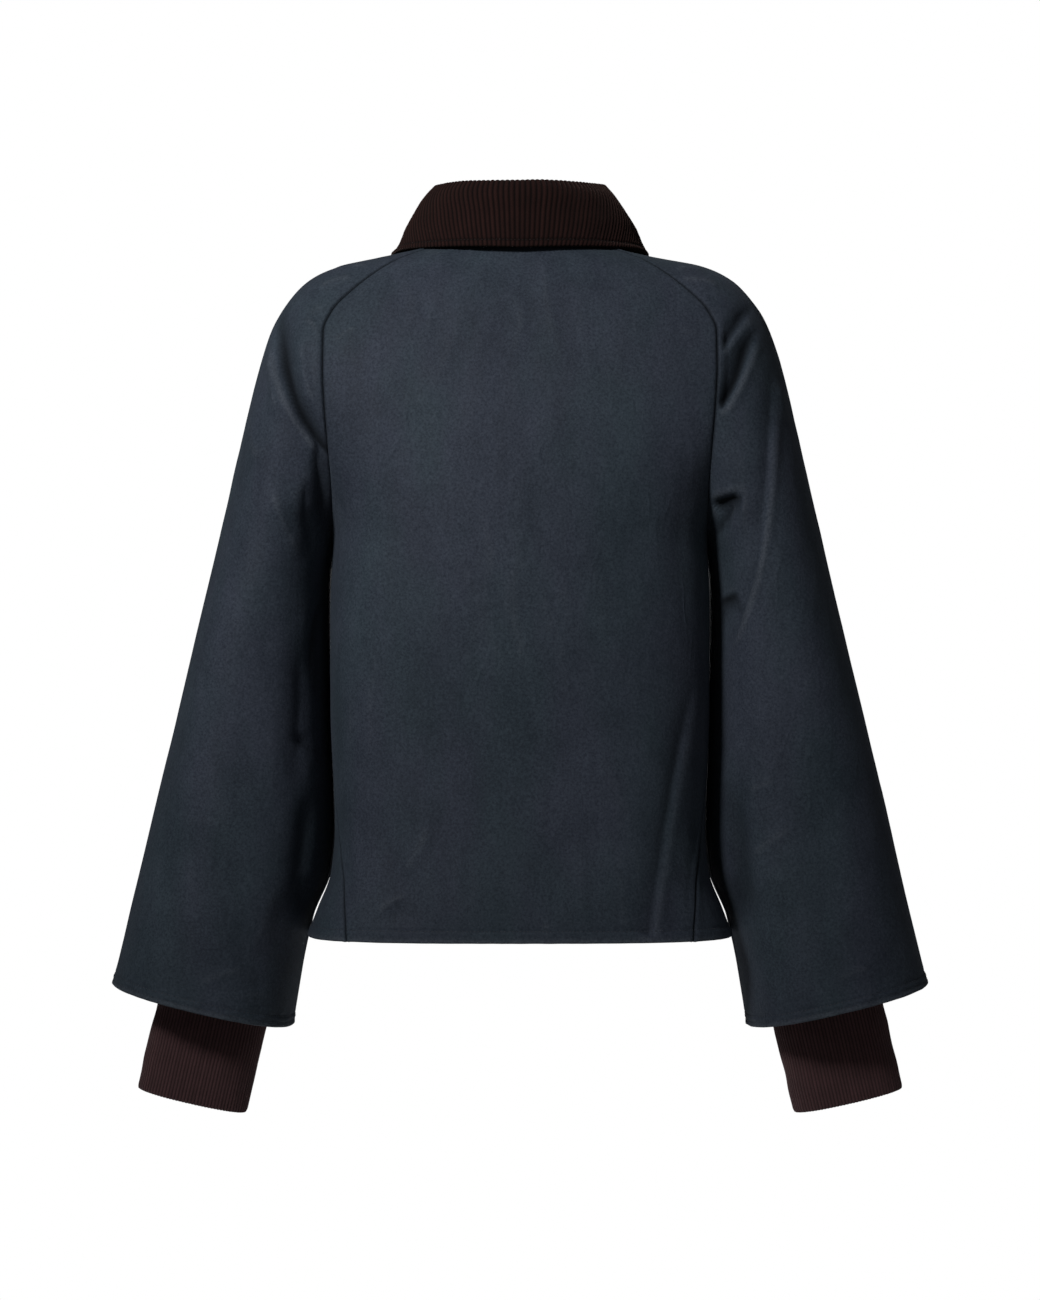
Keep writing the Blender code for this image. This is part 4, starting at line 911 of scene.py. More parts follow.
def add_node(tree, kind, inputs=None, **settings):
    """A node with its settings; an input is given a value, or a link where it is a socket."""
    made = tree.nodes.new(kind)
    for name, value in settings.items():
        setattr(made, name, value)
    for name, value in (inputs or {}).items():
        if isinstance(value, bpy.types.NodeSocket):
            tree.links.new(value, made.inputs[name])
        else:
            made.inputs[name].default_value = value
    return made


def add_noise(tree, place, scale, detail=3.0, roughness=0.55):
    """Noise at a place."""
    return add_node(tree, "ShaderNodeTexNoise",
                    {"Vector": place, "Scale": scale, "Detail": detail, "Roughness": roughness}).outputs[0]


def add_range(tree, value, low, high, to_low=0.0, to_high=1.0):
    """The value, taken from one range to another and kept inside it."""
    return add_node(tree, "ShaderNodeMapRange",
                    {0: value, 1: low, 2: high, 3: to_low, 4: to_high}).outputs[0]


def add_patches(tree, place, noise_settings, low, high):
    """Noise of a scale, detail and roughness, whose levels from low to high become 0 to 1."""
    return add_range(tree, add_noise(tree, place, *noise_settings), low, high)


def add_maths(tree, operation, first, second):
    """The result of an operation on two values."""
    return add_node(tree, "ShaderNodeMath", {0: first, 1: second}, operation=operation).outputs[0]


def add_sum(tree, *parts):
    """Two values added, each times its own share."""
    first, second = (add_maths(tree, "MULTIPLY", value, share) for value, share in parts)
    return add_maths(tree, "ADD", first, second)


def add_mix(tree, share, first, second, blend="MIX"):
    """Two colours mixed; a colour is a socket or three numbers."""
    ends = {6: first, 7: second}
    for key, value in ends.items():
        if not isinstance(value, bpy.types.NodeSocket):
            ends[key] = (*value, 1.0)
    return add_node(tree, "ShaderNodeMix", {0: share, **ends}, data_type="RGBA", blend_type=blend).outputs[2]


def add_mottle(tree, strength, colour, share, low, high):
    """A colour multiplied by one that a share takes from low to high."""
    return add_mix(tree, strength, colour, add_mix(tree, share, low, high), "MULTIPLY")


def add_wear_and_shade(tree):
    """The mesh's own marks: rubbed wear above 0, painted shade below, and the pile's height on ribs."""
    return add_node(tree, "ShaderNodeAttribute", attribute_name="wear").outputs["Fac"]


def add_cloth_place(tree):
    """The place on the cloth's own map, in metres."""
    return add_node(tree, "ShaderNodeUVMap", uv_map="cloth").outputs[0]


def scaled(colour, by):
    """The colour times a number, up to white."""
    return tuple(min(1.0, by * part) for part in colour)


def stretched(tree, place, scale):
    """The place with each axis scaled, so that a pattern is drawn out along one of them."""
    return add_node(tree, "ShaderNodeMapping", {"Vector": place, "Scale": scale}).outputs[0]


def start_finish(name, roughness, sheen=0.0, sheen_roughness=0.5, sheen_tint=(1.0, 1.0, 1.0), metallic=0.0,
                 specular=0.5):
    """A new material with its tree, its shader and the place on the object."""
    made = bpy.data.materials.new(name)
    made.use_nodes = True
    tree = made.node_tree
    shader = tree.nodes["Principled BSDF"]
    for socket, value in (("Roughness", roughness), ("Metallic", metallic), ("Sheen Weight", sheen),
                          ("Sheen Roughness", sheen_roughness), ("Sheen Tint", (*sheen_tint, 1.0)),
                          ("Specular IOR Level", specular)):
        shader.inputs[socket].default_value = value
    place = add_node(tree, "ShaderNodeTexCoord").outputs["Object"]
    return made, tree, shader, place


def end_finish(tree, shader, colour, relief):
    """Links the colour, and bump from pairs of a height socket and its depth in metres."""
    tree.links.new(colour, shader.inputs["Base Color"])
    normal = None
    for height, depth in relief:
        inputs = {"Height": height, "Distance": depth, "Strength": 1.0}
        if normal is not None:
            inputs["Normal"] = normal
        normal = add_node(tree, "ShaderNodeBump", inputs).outputs[0]
    tree.links.new(normal, shader.inputs["Normal"])


def add_bands(tree, place, pitch, way, distortion, detail_scale):
    """Bands at a pitch along one axis of a place."""
    return add_node(tree, "ShaderNodeTexWave",
                    {"Vector": place, "Scale": WAVE_PERIOD / pitch, "Distortion": distortion,
                     "Detail Scale": detail_scale}, bands_direction=way).outputs[1]


def add_weave(tree, pitch, diagonal=0.0):
    """A plain weave on the cloth's own map, or a twill where it leans."""
    cloth = add_cloth_place(tree)
    if diagonal:
        cloth = add_node(tree, "ShaderNodeMapping",
                         {"Vector": cloth, "Rotation": (0.0, 0.0, diagonal)}).outputs[0]
    return add_maths(tree, "MULTIPLY", *(add_bands(tree, cloth, pitch, way, 0.6, 0.02) for way in "XY"))


def waxed_cotton(settings):
    """Dark waxed cotton: mottled wax, a fine weave, soft gloss, paler rubbed edges, and painted shade in
    creases and seams.
    """
    made, tree, shader, place = start_finish("waxed_cotton", 0.62, 0.04, 0.5, (0.7, 0.85, 1.0),
                                             specular=0.10)
    drawn = stretched(tree, place, (1.0, 1.0, 0.45))
    centred = add_maths(tree, "SUBTRACT", add_noise(tree, drawn, 24.0, 2.0, 0.5), 0.5)
    off_line = add_node(tree, "ShaderNodeMath", {0: centred}, operation="ABSOLUTE").outputs[0]
    folds = add_maths(tree, "MULTIPLY", add_range(tree, off_line, 0.0, 0.035, 1.0, 0.0),
                      add_patches(tree, place, (7.0, 2.0), 0.48, 0.66))
    cloud = add_patches(tree, place, (9.0, 3.0), 0.35, 0.65)
    patch = add_patches(tree, drawn, (44.0, 5.0, 0.65), 0.32, 0.7)
    speck = add_patches(tree, place, (520.0, 3.0, 0.75), 0.34, 0.70)
    tint = add_patches(tree, drawn, (15.0, 3.0), 0.38, 0.62)
    wear = add_wear_and_shade(tree)
    worn, painted_shade = add_range(tree, wear, 0.0, 1.0), add_range(tree, wear, 0.0, -1.0, 0.0, 0.94)
    flecked = add_maths(tree, "MULTIPLY", worn, add_range(tree, patch, 0.0, 1.0, 0.45, 1.0))
    colour = add_mix(tree, add_sum(tree, (cloud, 0.45), (patch, 0.55)), settings.dark, settings.light)
    colour = add_mottle(tree, 1.0, colour, tint, (1.03, 0.98, 1.02), (0.94, 1.02, 0.98))
    colour = add_mix(tree, flecked, colour, settings.rubbed)
    colour = add_mottle(tree, 0.8, colour, speck, (0.55, 0.57, 0.60), (1.45, 1.44, 1.40))
    # painted shade: crease hollows and seam grooves are mixed towards a near-black blue
    colour = add_mix(tree, painted_shade, colour, PAINTED_SHADE_COLOUR)
    gloss = add_maths(tree, "ADD", add_range(tree, patch, 0.0, 1.0, 0.58, 0.74),
                      add_maths(tree, "MULTIPLY", painted_shade, 0.28))
    tree.links.new(gloss, shader.inputs["Roughness"])
    grain = add_noise(tree, place, 700.0, 3.0, 0.7)
    crackle = add_noise(tree, drawn, 170.0, 5.0, 0.66)
    end_finish(tree, shader, colour, [(folds, 0.30 * MM), (crackle, 0.36 * MM), (grain, 0.16 * MM),
                                      (add_weave(tree, THREAD_PITCH), 0.05 * MM)])
    return made


def corduroy(settings):
    """Brown corduroy: painted shade between the wales, and paler, softly shining pile on them."""
    made, tree, shader, place = start_finish("corduroy", 0.9, 0.10, 0.4, (1.0, 0.68, 0.6), specular=0.10)
    tuft = add_noise(tree, place, 900.0, 3.0, 0.7)
    patch = add_patches(tree, place, (55.0, 3.0), 0.3, 0.7)
    share = add_maths(tree, "MULTIPLY", add_wear_and_shade(tree), add_range(tree, tuft, 0.25, 0.75, 0.55, 1.0))
    # painted shade: the grooves between the wales, and the collar's inside, take the near-black groove colour
    colour = add_mix(tree, share, settings.groove, settings.pile)
    colour = add_mottle(tree, 0.5, colour, patch, (0.72, 0.72, 0.74), (1.2, 1.15, 1.1))
    end_finish(tree, shader, colour, [(tuft, 0.35 * MM)])
    return made


def rib_knit(settings):
    """Brown rib knit, its loops in rows across the ribs, with painted shade between the ribs."""
    made, tree, shader, place = start_finish("rib_knit", 0.9, 0.2, 0.5, (1.0, 0.75, 0.75), specular=0.16)
    rows = add_bands(tree, add_cloth_place(tree), LOOP_PITCH, "Y", 1.5, 0.5)
    fuzz = add_noise(tree, place, 1100.0, 3.0, 0.7)
    patch = add_patches(tree, place, (60.0, 3.0), 0.3, 0.7)
    share = add_maths(tree, "MULTIPLY", add_wear_and_shade(tree), add_range(tree, fuzz, 0.25, 0.75, 0.5, 1.0))
    # painted shade: the grooves between the ribs take the darker colour
    colour = add_mix(tree, share, settings.rib_groove_shade, settings.rib)
    colour = add_mottle(tree, 0.4, colour, patch, (0.75, 0.75, 0.75), (1.2, 1.15, 1.15))
    end_finish(tree, shader, colour, [(rows, 0.18 * MM), (fuzz, 0.25 * MM)])
    return made


def woven(name, colour, pitch, roughness, diagonal=0.0):
    """A plain woven cloth, for the lining and the zip's tapes."""
    made, tree, shader, place = start_finish(name, roughness, 0.1, 0.5)
    weave = add_weave(tree, pitch, diagonal)
    patch = add_patches(tree, place, (45.0, 3.0), 0.3, 0.7)
    share = add_sum(tree, (weave, 0.5), (patch, 0.5))
    shade = add_mix(tree, share, scaled(colour, 0.6), scaled(colour, 1.35))
    end_finish(tree, shader, shade, [(weave, 0.12 * MM), (add_noise(tree, place, 800.0), 0.08 * MM)])
    return made


def thread(name, colour):
    """Twisted sewing thread."""
    made, tree, shader, place = start_finish(name, 0.7, 0.1, 0.4, specular=0.2)
    twist = add_noise(tree, place, 2200.0, 2.0, 0.6)
    shade = add_mix(tree, twist, scaled(colour, 0.55), scaled(colour, 1.0))
    end_finish(tree, shader, shade, [(twist, 0.12 * MM)])
    return made


def antique_brass(settings):
    """Aged brass: darker where it has tarnished, brighter where it is rubbed."""
    made, tree, shader, place = start_finish("antique_brass_worn", 0.34, metallic=1.0)
    tarnish = add_patches(tree, place, (420.0, 4.0, 0.6), 0.35, 0.68)
    scratch = add_noise(tree, stretched(tree, place, (1.0, 1.0, 0.12)), 2600.0, 2.0)
    colour = add_mix(tree, tarnish, settings.brass, scaled(settings.brass, 0.42))
    tree.links.new(add_range(tree, tarnish, 0.0, 1.0, 0.26, 0.5), shader.inputs["Roughness"])
    end_finish(tree, shader, colour, [(scratch, 0.02 * MM), (tarnish, 0.02 * MM)])
    return made


@functools.cache
def finish(name):
    """One of the jacket's materials, made the first time that it is asked for."""
    looks = bpy.context.scene.jacket_looks
    makers = {
        "waxed": lambda: waxed_cotton(looks),
        "corduroy": lambda: corduroy(looks),
        "rib": lambda: rib_knit(looks),
        "lining": lambda: woven("skirt_lining_cloth", tuple(looks.lining), 0.5 * MM, 0.6),
        "tape": lambda: woven("zip_tape_cloth", tuple(looks.tape), 0.6 * MM, 0.75, math.radians(35)),
        "thread": lambda: thread("thread", looks.thread),
        "collar_thread": lambda: thread("collar_thread", looks.collar_thread),
        "brass": lambda: antique_brass(looks),
    }
    return makers[name]()


# ---------------------------------------------------------------- the sewn cloth

SEAM_GAP = 0.3 * MM
UNDERARM_GAP = 0.6 * MM
EDGE_CALM = 22.0 * MM       # over which creases fade out towards the front edges
FRONT_STITCH = 8.0 * MM     # from the front edge to its sewing
SLEEVE_STITCHES = (3.3 * MM, 8.5 * MM)
TONGUE = slice(-TONGUE_ROWS, None)
SIDE = slice(0, BODY_ROWS + 1)
SEAMS = (                   # piece, its column, piece, its column, rows
    ("back", 0, "sleeve_left", -1, TONGUE),
    ("back", -1, "sleeve_right", 0, TONGUE),
    ("front_left", -1, "sleeve_left", 0, TONGUE),
    ("front_right", 0, "sleeve_right", -1, TONGUE),
    ("back", 0, "front_left", -1, SIDE),
    ("back", -1, "front_right", 0, SIDE),
)
CREASES = {                 # tables for the faces that look back and forward
    "back": (BACK_CREASES, None),
    "front_left": (None, FRONT_CREASES),
    "front_right": (None, FRONT_CREASES),
    "sleeve_left": (LEFT_SLEEVE_BACK, LEFT_SLEEVE_FRONT),
    "sleeve_right": (RIGHT_SLEEVE_BACK, RIGHT_SLEEVE_FRONT),
}
NOISE_SEED = 7.3


class Cloth:
    """One cut piece: its plain grid and normals, then its worn outer and inner points."""

    def __init__(self, grid, closed_rows, underarm, lean, seam_columns, edge_column=None, body_side=0):
        self.grid = grid
        self.normals = grid_normals(grid, closed_rows, underarm, lean)
        self.seam_columns = seam_columns
        self.edge_column = edge_column
        self.body_side = body_side
        self.match = np.ones((len(grid), 2))

    def shift(self, rows, column, by):
        """Moves points of an edge, on both sides of the wall."""
        self.outer[rows, column] += by
        self.inner[rows, column] += by

    def dress(self, creases, crease_strength, uneven_strength, thickness, hem_stitches):
        """Gives the piece its creases and sewing: its outer and inner points, and its wear with painted
        shade.
        """
        grid, normals = self.grid, self.normals
        from_hem = lengths_along(grid, 0)
        from_seam_line = np.min([distances(grid, grid[:, column]) for column in self.seam_columns], axis=0)
        calm = ease(from_seam_line / SEAM_CALM)
        if self.body_side:
            calm *= ease((BODY_CALM[0] - self.body_side * normals[..., 0]) / (BODY_CALM[0] - BODY_CALM[1]))
        if self.edge_column is not None:
            from_front = distances(grid, grid[:, self.edge_column])
            calm *= ease((from_front - FRONT_STITCH) / EDGE_CALM)
        heights = np.zeros(grid.shape[:2])
        dark = np.zeros(grid.shape[:2])
        for table, way in zip(creases, (1, -1)):
            if table:
                facing = ease(way * normals[..., 1] / FACING)
                form, shade = crease_heights(grid, table, way > 0)
                heights += form * facing * crease_strength
                dark += shade * facing * crease_strength
        heights += uneven(grid, NOISE_SEED) * uneven_strength
        heights *= calm
        rough = heights.copy()
        for place in hem_stitches:
            heights += hem_form(grid, from_hem, NOISE_SEED, place)
        if self.edge_column is not None:
            heights += hem_form(grid, from_front, NOISE_SEED, FRONT_STITCH)
        left = np.arange(grid.shape[1]) < grid.shape[1] / 2
        match = np.where(left, self.match[:, :1], self.match[:, 1:])
        heights += seam_form(from_seam_line) * match
        self.outer = grid + normals * heights[..., None]
        self.inner = grid + normals * (lowest_nearby(heights) - thickness)[..., None]
        ridge = ease((rough - blurred(rough, BLUR_TIMES)) / RIDGE)
        edge = np.exp(-(from_hem / RUBBED_WIDTH) ** 2)
        if self.edge_column is not None:
            edge = edge + np.exp(-(from_front / RUBBED_WIDTH) ** 2)
        # painted shade also darkens the seams' grooves
        dark = np.maximum(dark, SEAM_SHADE * np.exp(-(from_seam_line / SEAM_WIDTH) ** 2) * match)
        # the per-point marks: rubbed wear above 0, painted shade in creases and seam grooves below 0
        self.wear = np.clip(RIDGE_WEAR * ridge + EDGE_WEAR * edge, 0.0, 1.0) * (1 - dark) - dark


def distances(grid, line):
    """How far each point of a grid lies from a line of points."""
    steps = line[1:] - line[:-1]
    fine = np.concatenate([line[:-1] + steps * share for share in (0.0, 0.25, 0.5, 0.75)] + [line[-1:]])
    tree = KDTree(len(fine))
    for index, place in enumerate(fine.tolist()):
        tree.insert(place, index)
    tree.balance()
    return np.array([tree.find(place)[2] for place in grid.reshape(-1, 3).tolist()]).reshape(grid.shape[:2])


def blurred(heights, times):
    """Heights averaged with their neighbours' a number of times."""
    for _ in range(times):
        padded = np.pad(heights, 1, mode="edge")
        heights = (padded[:-2, 1:-1] + padded[2:, 1:-1] + padded[1:-1, :-2] + padded[1:-1, 2:] + heights) / 5
    return heights


@functools.cache
def sewn_cloth():
    """The back, fronts and sleeves by name, dressed and a seam's gap apart."""
    cloth = bpy.context.scene.jacket_cloth
    front = softened(left_front_grid(), BODY_ROWS, (-1,))
    sleeve = softened(left_sleeve_grid(), RING_ROWS, (0, -1))
    pieces = {
        "back": Cloth(softened(back_grid(), BODY_ROWS, (0, -1)), 0, BODY_ROWS, 0.0, (0, -1)),
        "front_left": Cloth(front, 0, BODY_ROWS, 0.0, (-1,), 0, 1),
        "front_right": Cloth(mirrored(front), 0, BODY_ROWS, 0.0, (0,), -1, -1),
        "sleeve_left": Cloth(sleeve, RING_ROWS + 1, RING_ROWS, -SLEEVE_LEAN, (0, -1), body_side=-1),
        "sleeve_right": Cloth(mirrored(sleeve), RING_ROWS + 1, RING_ROWS, SLEEVE_LEAN, (0, -1), body_side=1),
    }
    for first, column, second, other, rows in SEAMS:
        a, b = pieces[first], pieces[second]
        agree = np.clip((a.normals[rows, column] * b.normals[rows, other]).sum(axis=-1), 0.0, 1.0)
        a.match[rows, column] = agree
        b.match[rows, other] = agree
        share_normals(a.normals, (rows, column), b.normals, (rows, other))
    for name, piece in pieces.items():
        stitches = SLEEVE_STITCHES if name.startswith("sleeve") else (HEM_STITCH,)
        piece.dress(CREASES[name], cloth.creases, cloth.unevenness, cloth.thickness, stitches)
    for first, column, second, other, rows in SEAMS:
        a, b = pieces[first], pieces[second]
        into_a = unit(a.grid[rows, 1 if column == 0 else -2] - a.grid[rows, column])
        into_b = unit(b.grid[rows, 1 if other == 0 else -2] - b.grid[rows, other])
        apart = unit(into_a - into_b) * SEAM_GAP / 2
        a.shift(rows, column, apart)
        b.shift(rows, other, -apart)
    corner = -TONGUE_ROWS - 1
    for side, back_column, name in ((1, 0, "left"), (-1, -1, "right")):
        step = np.array([side * UNDERARM_GAP / 2, 0.0, 0.0])
        pieces["back"].shift(corner, back_column, -step)
        pieces["front_" + name].shift(corner, -1 - back_column, -step)
        for column in (0, -1):
            pieces["sleeve_" + name].shift(corner, column, step)
    return pieces


def make_cloth_piece(name):
    """A piece of the waxed cloth as an object."""
    piece = sewn_cloth()[name]
    rows = len(piece.outer) - 1
    side_rows = (RING_ROWS, rows) if name.startswith("sleeve") else (0, rows)
    made = wall(name + "_cloth", piece.outer, piece.inner, finish("waxed"), side_rows, piece.wear)
    settle(made, "waxed_navy", name)
    return made


def settle(made, slot, *nodes, body=BODY):
    """Rides the piece on its body and hides the solids that it stands for; its slot is not used."""
    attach(made, body)
    if nodes:
        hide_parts(*nodes)


# ---------------------------------------------------------------- the collar

FOLD_WIDTH = 70.0 * MM
FOLD_BACK = 60.0 * MM
FOLD_FRONT = -84.0 * MM
EDGE_WIDTH = 106.0 * MM
EDGE_BACK = 76.0 * MM
EDGE_FRONT = -110.0 * MM
COLLAR_END_TURN = 174.0
COLLAR_POINT_TURN = 152.0
COLLAR_LEAN = 0.43
FOLD_REACH = 4.0 * MM
FOLD_RISE = 1.0 * MM
FOLD_DROP = 2.4 * MM
FALL_CROWN = 1.5 * MM
SIDE_CROWN = 8.0 * MM
FOOT_RISE = 1.6 * MM
CORDUROY = 2.4 * MM
COLLAR_HEIGHTS = columns(
    "turn fold edge",
    (0,   51.5, -2.0),
    (45,  53,  0.9),
    (65,  54,  2.0),
    (80,  55,  1.2),
    (100, 46,  -2),
    (125, 18,  -22),
    (150, -18, -62),
    (180, -44, -92),
)
COLLAR_ROWS = 52
WALE_COLUMNS = 8
COLLAR_CROWD = ([0.0, 0.06, 0.12, 0.45, 0.52, 0.66, 0.72, 1.0], [3.0, 2.4, 1.0, 1.0, 2.6, 2.6, 0.8, 0.7])
COLLAR_STITCH = 5.0 * MM    # from the edge to its sewing
HELD_WIDTH = 0.9 * MM       # over which the sewing holds the pile down, and how far
HELD_SHARE = 0.75
HELD_DEPTH = 0.5 * MM
COLLAR_SEED = 3.1
COLLAR_SWELL = 0.9 * MM
COLLAR_SWELL_LENGTH = 55.0 * MM
COLLAR_EDGE_CALM = 6.0 * MM
COLLAR_FOOT_CALM = 20.0 * MM


def collar_rows(shares):
    """The collar's edge, middle, shoulder, crest, throat and foot, as the solid has them."""
    share = np.abs(shares)
    side = points(np.sign(shares), 1.0, 1.0)
    seam_turn = COLLAR_END_TURN * ((1 + COLLAR_LEAN) * share - COLLAR_LEAN * share ** 3)
    edge_turn = COLLAR_POINT_TURN * share
    loops = [neck(seam_turn)]
    for turn, width, back, front, name in (
            (seam_turn, FOLD_WIDTH, FOLD_BACK, FOLD_FRONT, "fold"),
            (edge_turn, EDGE_WIDTH, EDGE_BACK, EDGE_FRONT, "edge")):
        angle = np.radians(turn)
        loops.append(points(width * np.sin(angle), (back + front) / 2 + (back - front) / 2 * np.cos(angle),
                            read(COLLAR_HEIGHTS, name, turn) * MM))
    seam, fold, edge = (loop * side for loop in loops)
    up = np.array([0.0, 0.0, 1.0])
    along = np.gradient(fold, axis=0)
    outward = unit(points(along[:, 1], -along[:, 0], 0.0))
    foot = seam + up * FOOT_RISE - outward * CORDUROY / 2
    crest = fold + up * FOLD_RISE
    shoulder = fold + outward * FOLD_REACH - up * FOLD_DROP
    throat = fold - outward * FOLD_REACH - up * FOLD_REACH
    crown = FALL_CROWN + SIDE_CROWN * np.sin(math.pi * np.abs(shares)) ** 2
    middle = (shoulder + edge) / 2 + outward * crown[:, None]
    return np.array([edge, middle, shoulder, crest, throat, foot])


def smooth_rows(rows, count, crowd):
    """A smooth sheet through a few rows; crowd gives how close its rows lie, by share of length."""
    steps = np.linalg.norm(np.diff(rows, axis=0), axis=2).mean(axis=1)
    slopes = np.diff(rows, axis=0) / steps[:, None, None]
    inner = ((steps[1:, None, None] * slopes[:-1] + steps[:-1, None, None] * slopes[1:])
             / (steps[1:] + steps[:-1])[:, None, None])
    tangents = np.concatenate([slopes[:1], inner, slopes[-1:]])
    keys = np.concatenate([[0.0], np.cumsum(steps)])
    dense = np.linspace(0.0, 1.0, 2001)
    weight = np.interp(dense, *crowd)
    reached = np.concatenate([[0.0], np.cumsum((weight[1:] + weight[:-1]) / 2)])
    at = np.interp(np.linspace(0.0, 1.0, count + 1), reached / reached[-1], dense) * keys[-1]
    row = np.clip(np.searchsorted(keys, at, side="right") - 1, 0, len(keys) - 2)
    t = ((at - keys[row]) / steps[row])[:, None, None]
    step = steps[row][:, None, None]
    return ((1 + 2 * t) * (1 - t) ** 2 * rows[row] + t * (1 - t) ** 2 * step * tangents[row]
            + t * t * (3 - 2 * t) * rows[row + 1] + t * t * (t - 1) * step * tangents[row + 1])


def ribbed(count, columns_each, sharpness, seed, rows):
    """Rounded ribs along equal rows, from 0 in the grooves to about 1, no two quite alike."""
    column = np.arange(count * columns_each + 1)
    rib = np.abs(np.sin(math.pi * column / columns_each)) ** sharpness
    each = 1 - 0.25 * np.random.default_rng(seed).random(count + 1)
    return np.tile(rib * each[np.minimum(column // columns_each, count)], (rows, 1))


def coarse_swell(grid, every, height, length, stretch, seed):
    """A soft swell, worked out on every few columns of a grid and straight between them."""
    column = np.arange(grid.shape[1])
    swell = height * soft_noise(grid[:, ::every], length, stretch, seed) * 2
    return np.array([np.interp(column, column[::every], row) for row in swell])


@functools.cache
def collar_surface():
    """The collar's worn grid, its normals, how high each point of its pile is, and its inside."""
    trims = bpy.context.scene.jacket_trims
    count = trims.wales * WALE_COLUMNS
    plain = smooth_rows(collar_rows(np.linspace(1.0, -1.0, count + 1)), COLLAR_ROWS, COLLAR_CROWD)
    normals = grid_normals(plain)
    from_edge = lengths_along(plain, 0)
    from_foot = lengths_along(plain[::-1], 0)[::-1]
    swell = coarse_swell(plain, WALE_COLUMNS, COLLAR_SWELL, COLLAR_SWELL_LENGTH, 1.0, COLLAR_SEED)
    swell *= ease(from_edge / COLLAR_EDGE_CALM) * ease((from_foot - COLLAR_FOOT_CALM) / COLLAR_FOOT_CALM)
    held = np.exp(-((from_edge - COLLAR_STITCH) / HELD_WIDTH) ** 2)
    pile = ribbed(trims.wales, WALE_COLUMNS, 1.1, 5, len(plain)) * (1 - HELD_SHARE * held)
    heights = swell + trims.wale_height * pile - HELD_DEPTH * held
    outer = plain + normals * heights[..., None]
    inner = plain + normals * (swell - CORDUROY)[..., None]
    return outer, normals, pile, inner, from_edge


# ---------------------------------------------------------------- cuffs and their skirts

CUFF_TOP = np.array([248.0, -12.0, -600.0]) * MM
CUFF_BOTTOM = np.array([269.8, -12.0, -694.4]) * MM
CUFF_HALF_WIDTH = 45.4 * MM
CUFF_HALF_DEPTH = 30.0 * MM
CUFF_ROUNDNESS = 0.8
CUFF_EDGE = 3.0 * MM
CUFF_TUCK = 0.985
RIB = 2.2 * MM
LINING = 1.0 * MM
RIB_COLUMNS = 8
CUFF_ROWS = 40
SKIRT_ROWS = 24
SKIRT_SHARE = 0.78          # of the sleeve's length, where the skirt joins it
GATHERS = 17
GATHER_DEPTH = 1.2 * MM
GATHER_FADE = 0.3           # share of the skirt over which they start and end
CUFF_EDGE_ROWS = (0.0, 0.35, 0.9, 1.8)      # mm from the lower edge
CUFF_SWELL = 0.5 * MM
CUFF_SWELL_LENGTH = 30.0 * MM
CUFF_TOP_CALM = 20.0 * MM
CUFF_EDGE_CALM = 25.0 * MM


def cuff_section(centre, scale, count):
    """A ring of the left cuff at a centre; it starts at the inner side and turns over the front."""
    down = CUFF_BOTTOM - CUFF_TOP
    across = np.array([-down[2], 0.0, down[0]]) / np.linalg.norm(down)
    angle = np.linspace(0.0, 2 * math.pi, 4 * DENSE)
    ring = centre - np.outer(scale * CUFF_HALF_WIDTH * power(np.cos(angle), CUFF_ROUNDNESS), across)
    ring[:, 1] -= scale * CUFF_HALF_DEPTH * power(np.sin(angle), CUFF_ROUNDNESS)
    ring = spread(ring, np.linspace(0.0, 1.0, count + 1))
    ring[-1] = ring[0]
    return ring


def left_cuff(ribs, rib_height, seed):
    """The cuff's worn outer grid, its inside and the height of its ribs; rows from the lower edge."""
    count = ribs * RIB_COLUMNS
    length = np.linalg.norm(CUFF_TOP - CUFF_BOTTOM)
    up = (CUFF_TOP - CUFF_BOTTOM) / length
    even = np.linspace(CUFF_EDGE / MM, length / MM, CUFF_ROWS - 3)
    heights = np.concatenate([CUFF_EDGE_ROWS, even]) * MM
    rows = []
    for height in heights:
        tuck = max(0.0, 1 - height / CUFF_EDGE)
        rows.append(cuff_section(CUFF_BOTTOM + up * height, 1 - (1 - CUFF_TUCK) * tuck ** 2, count))
    plain = np.array(rows)
    normals = grid_normals(plain, len(plain))
    calm = ease((length - heights) / CUFF_TOP_CALM) * (0.3 + 0.7 * ease(heights / CUFF_EDGE_CALM))
    swell = coarse_swell(plain, RIB_COLUMNS, CUFF_SWELL, CUFF_SWELL_LENGTH, 0.7, seed) * calm[:, None]
    rib = ribbed(ribs, RIB_COLUMNS, 0.8, int(seed), len(plain))
    rib[:, -1] = rib[:, 0]
    outer = plain + normals * (swell + rib_height * rib)[..., None]
    inner = plain + normals * (swell - RIB)[..., None]
    return outer, inner, rib


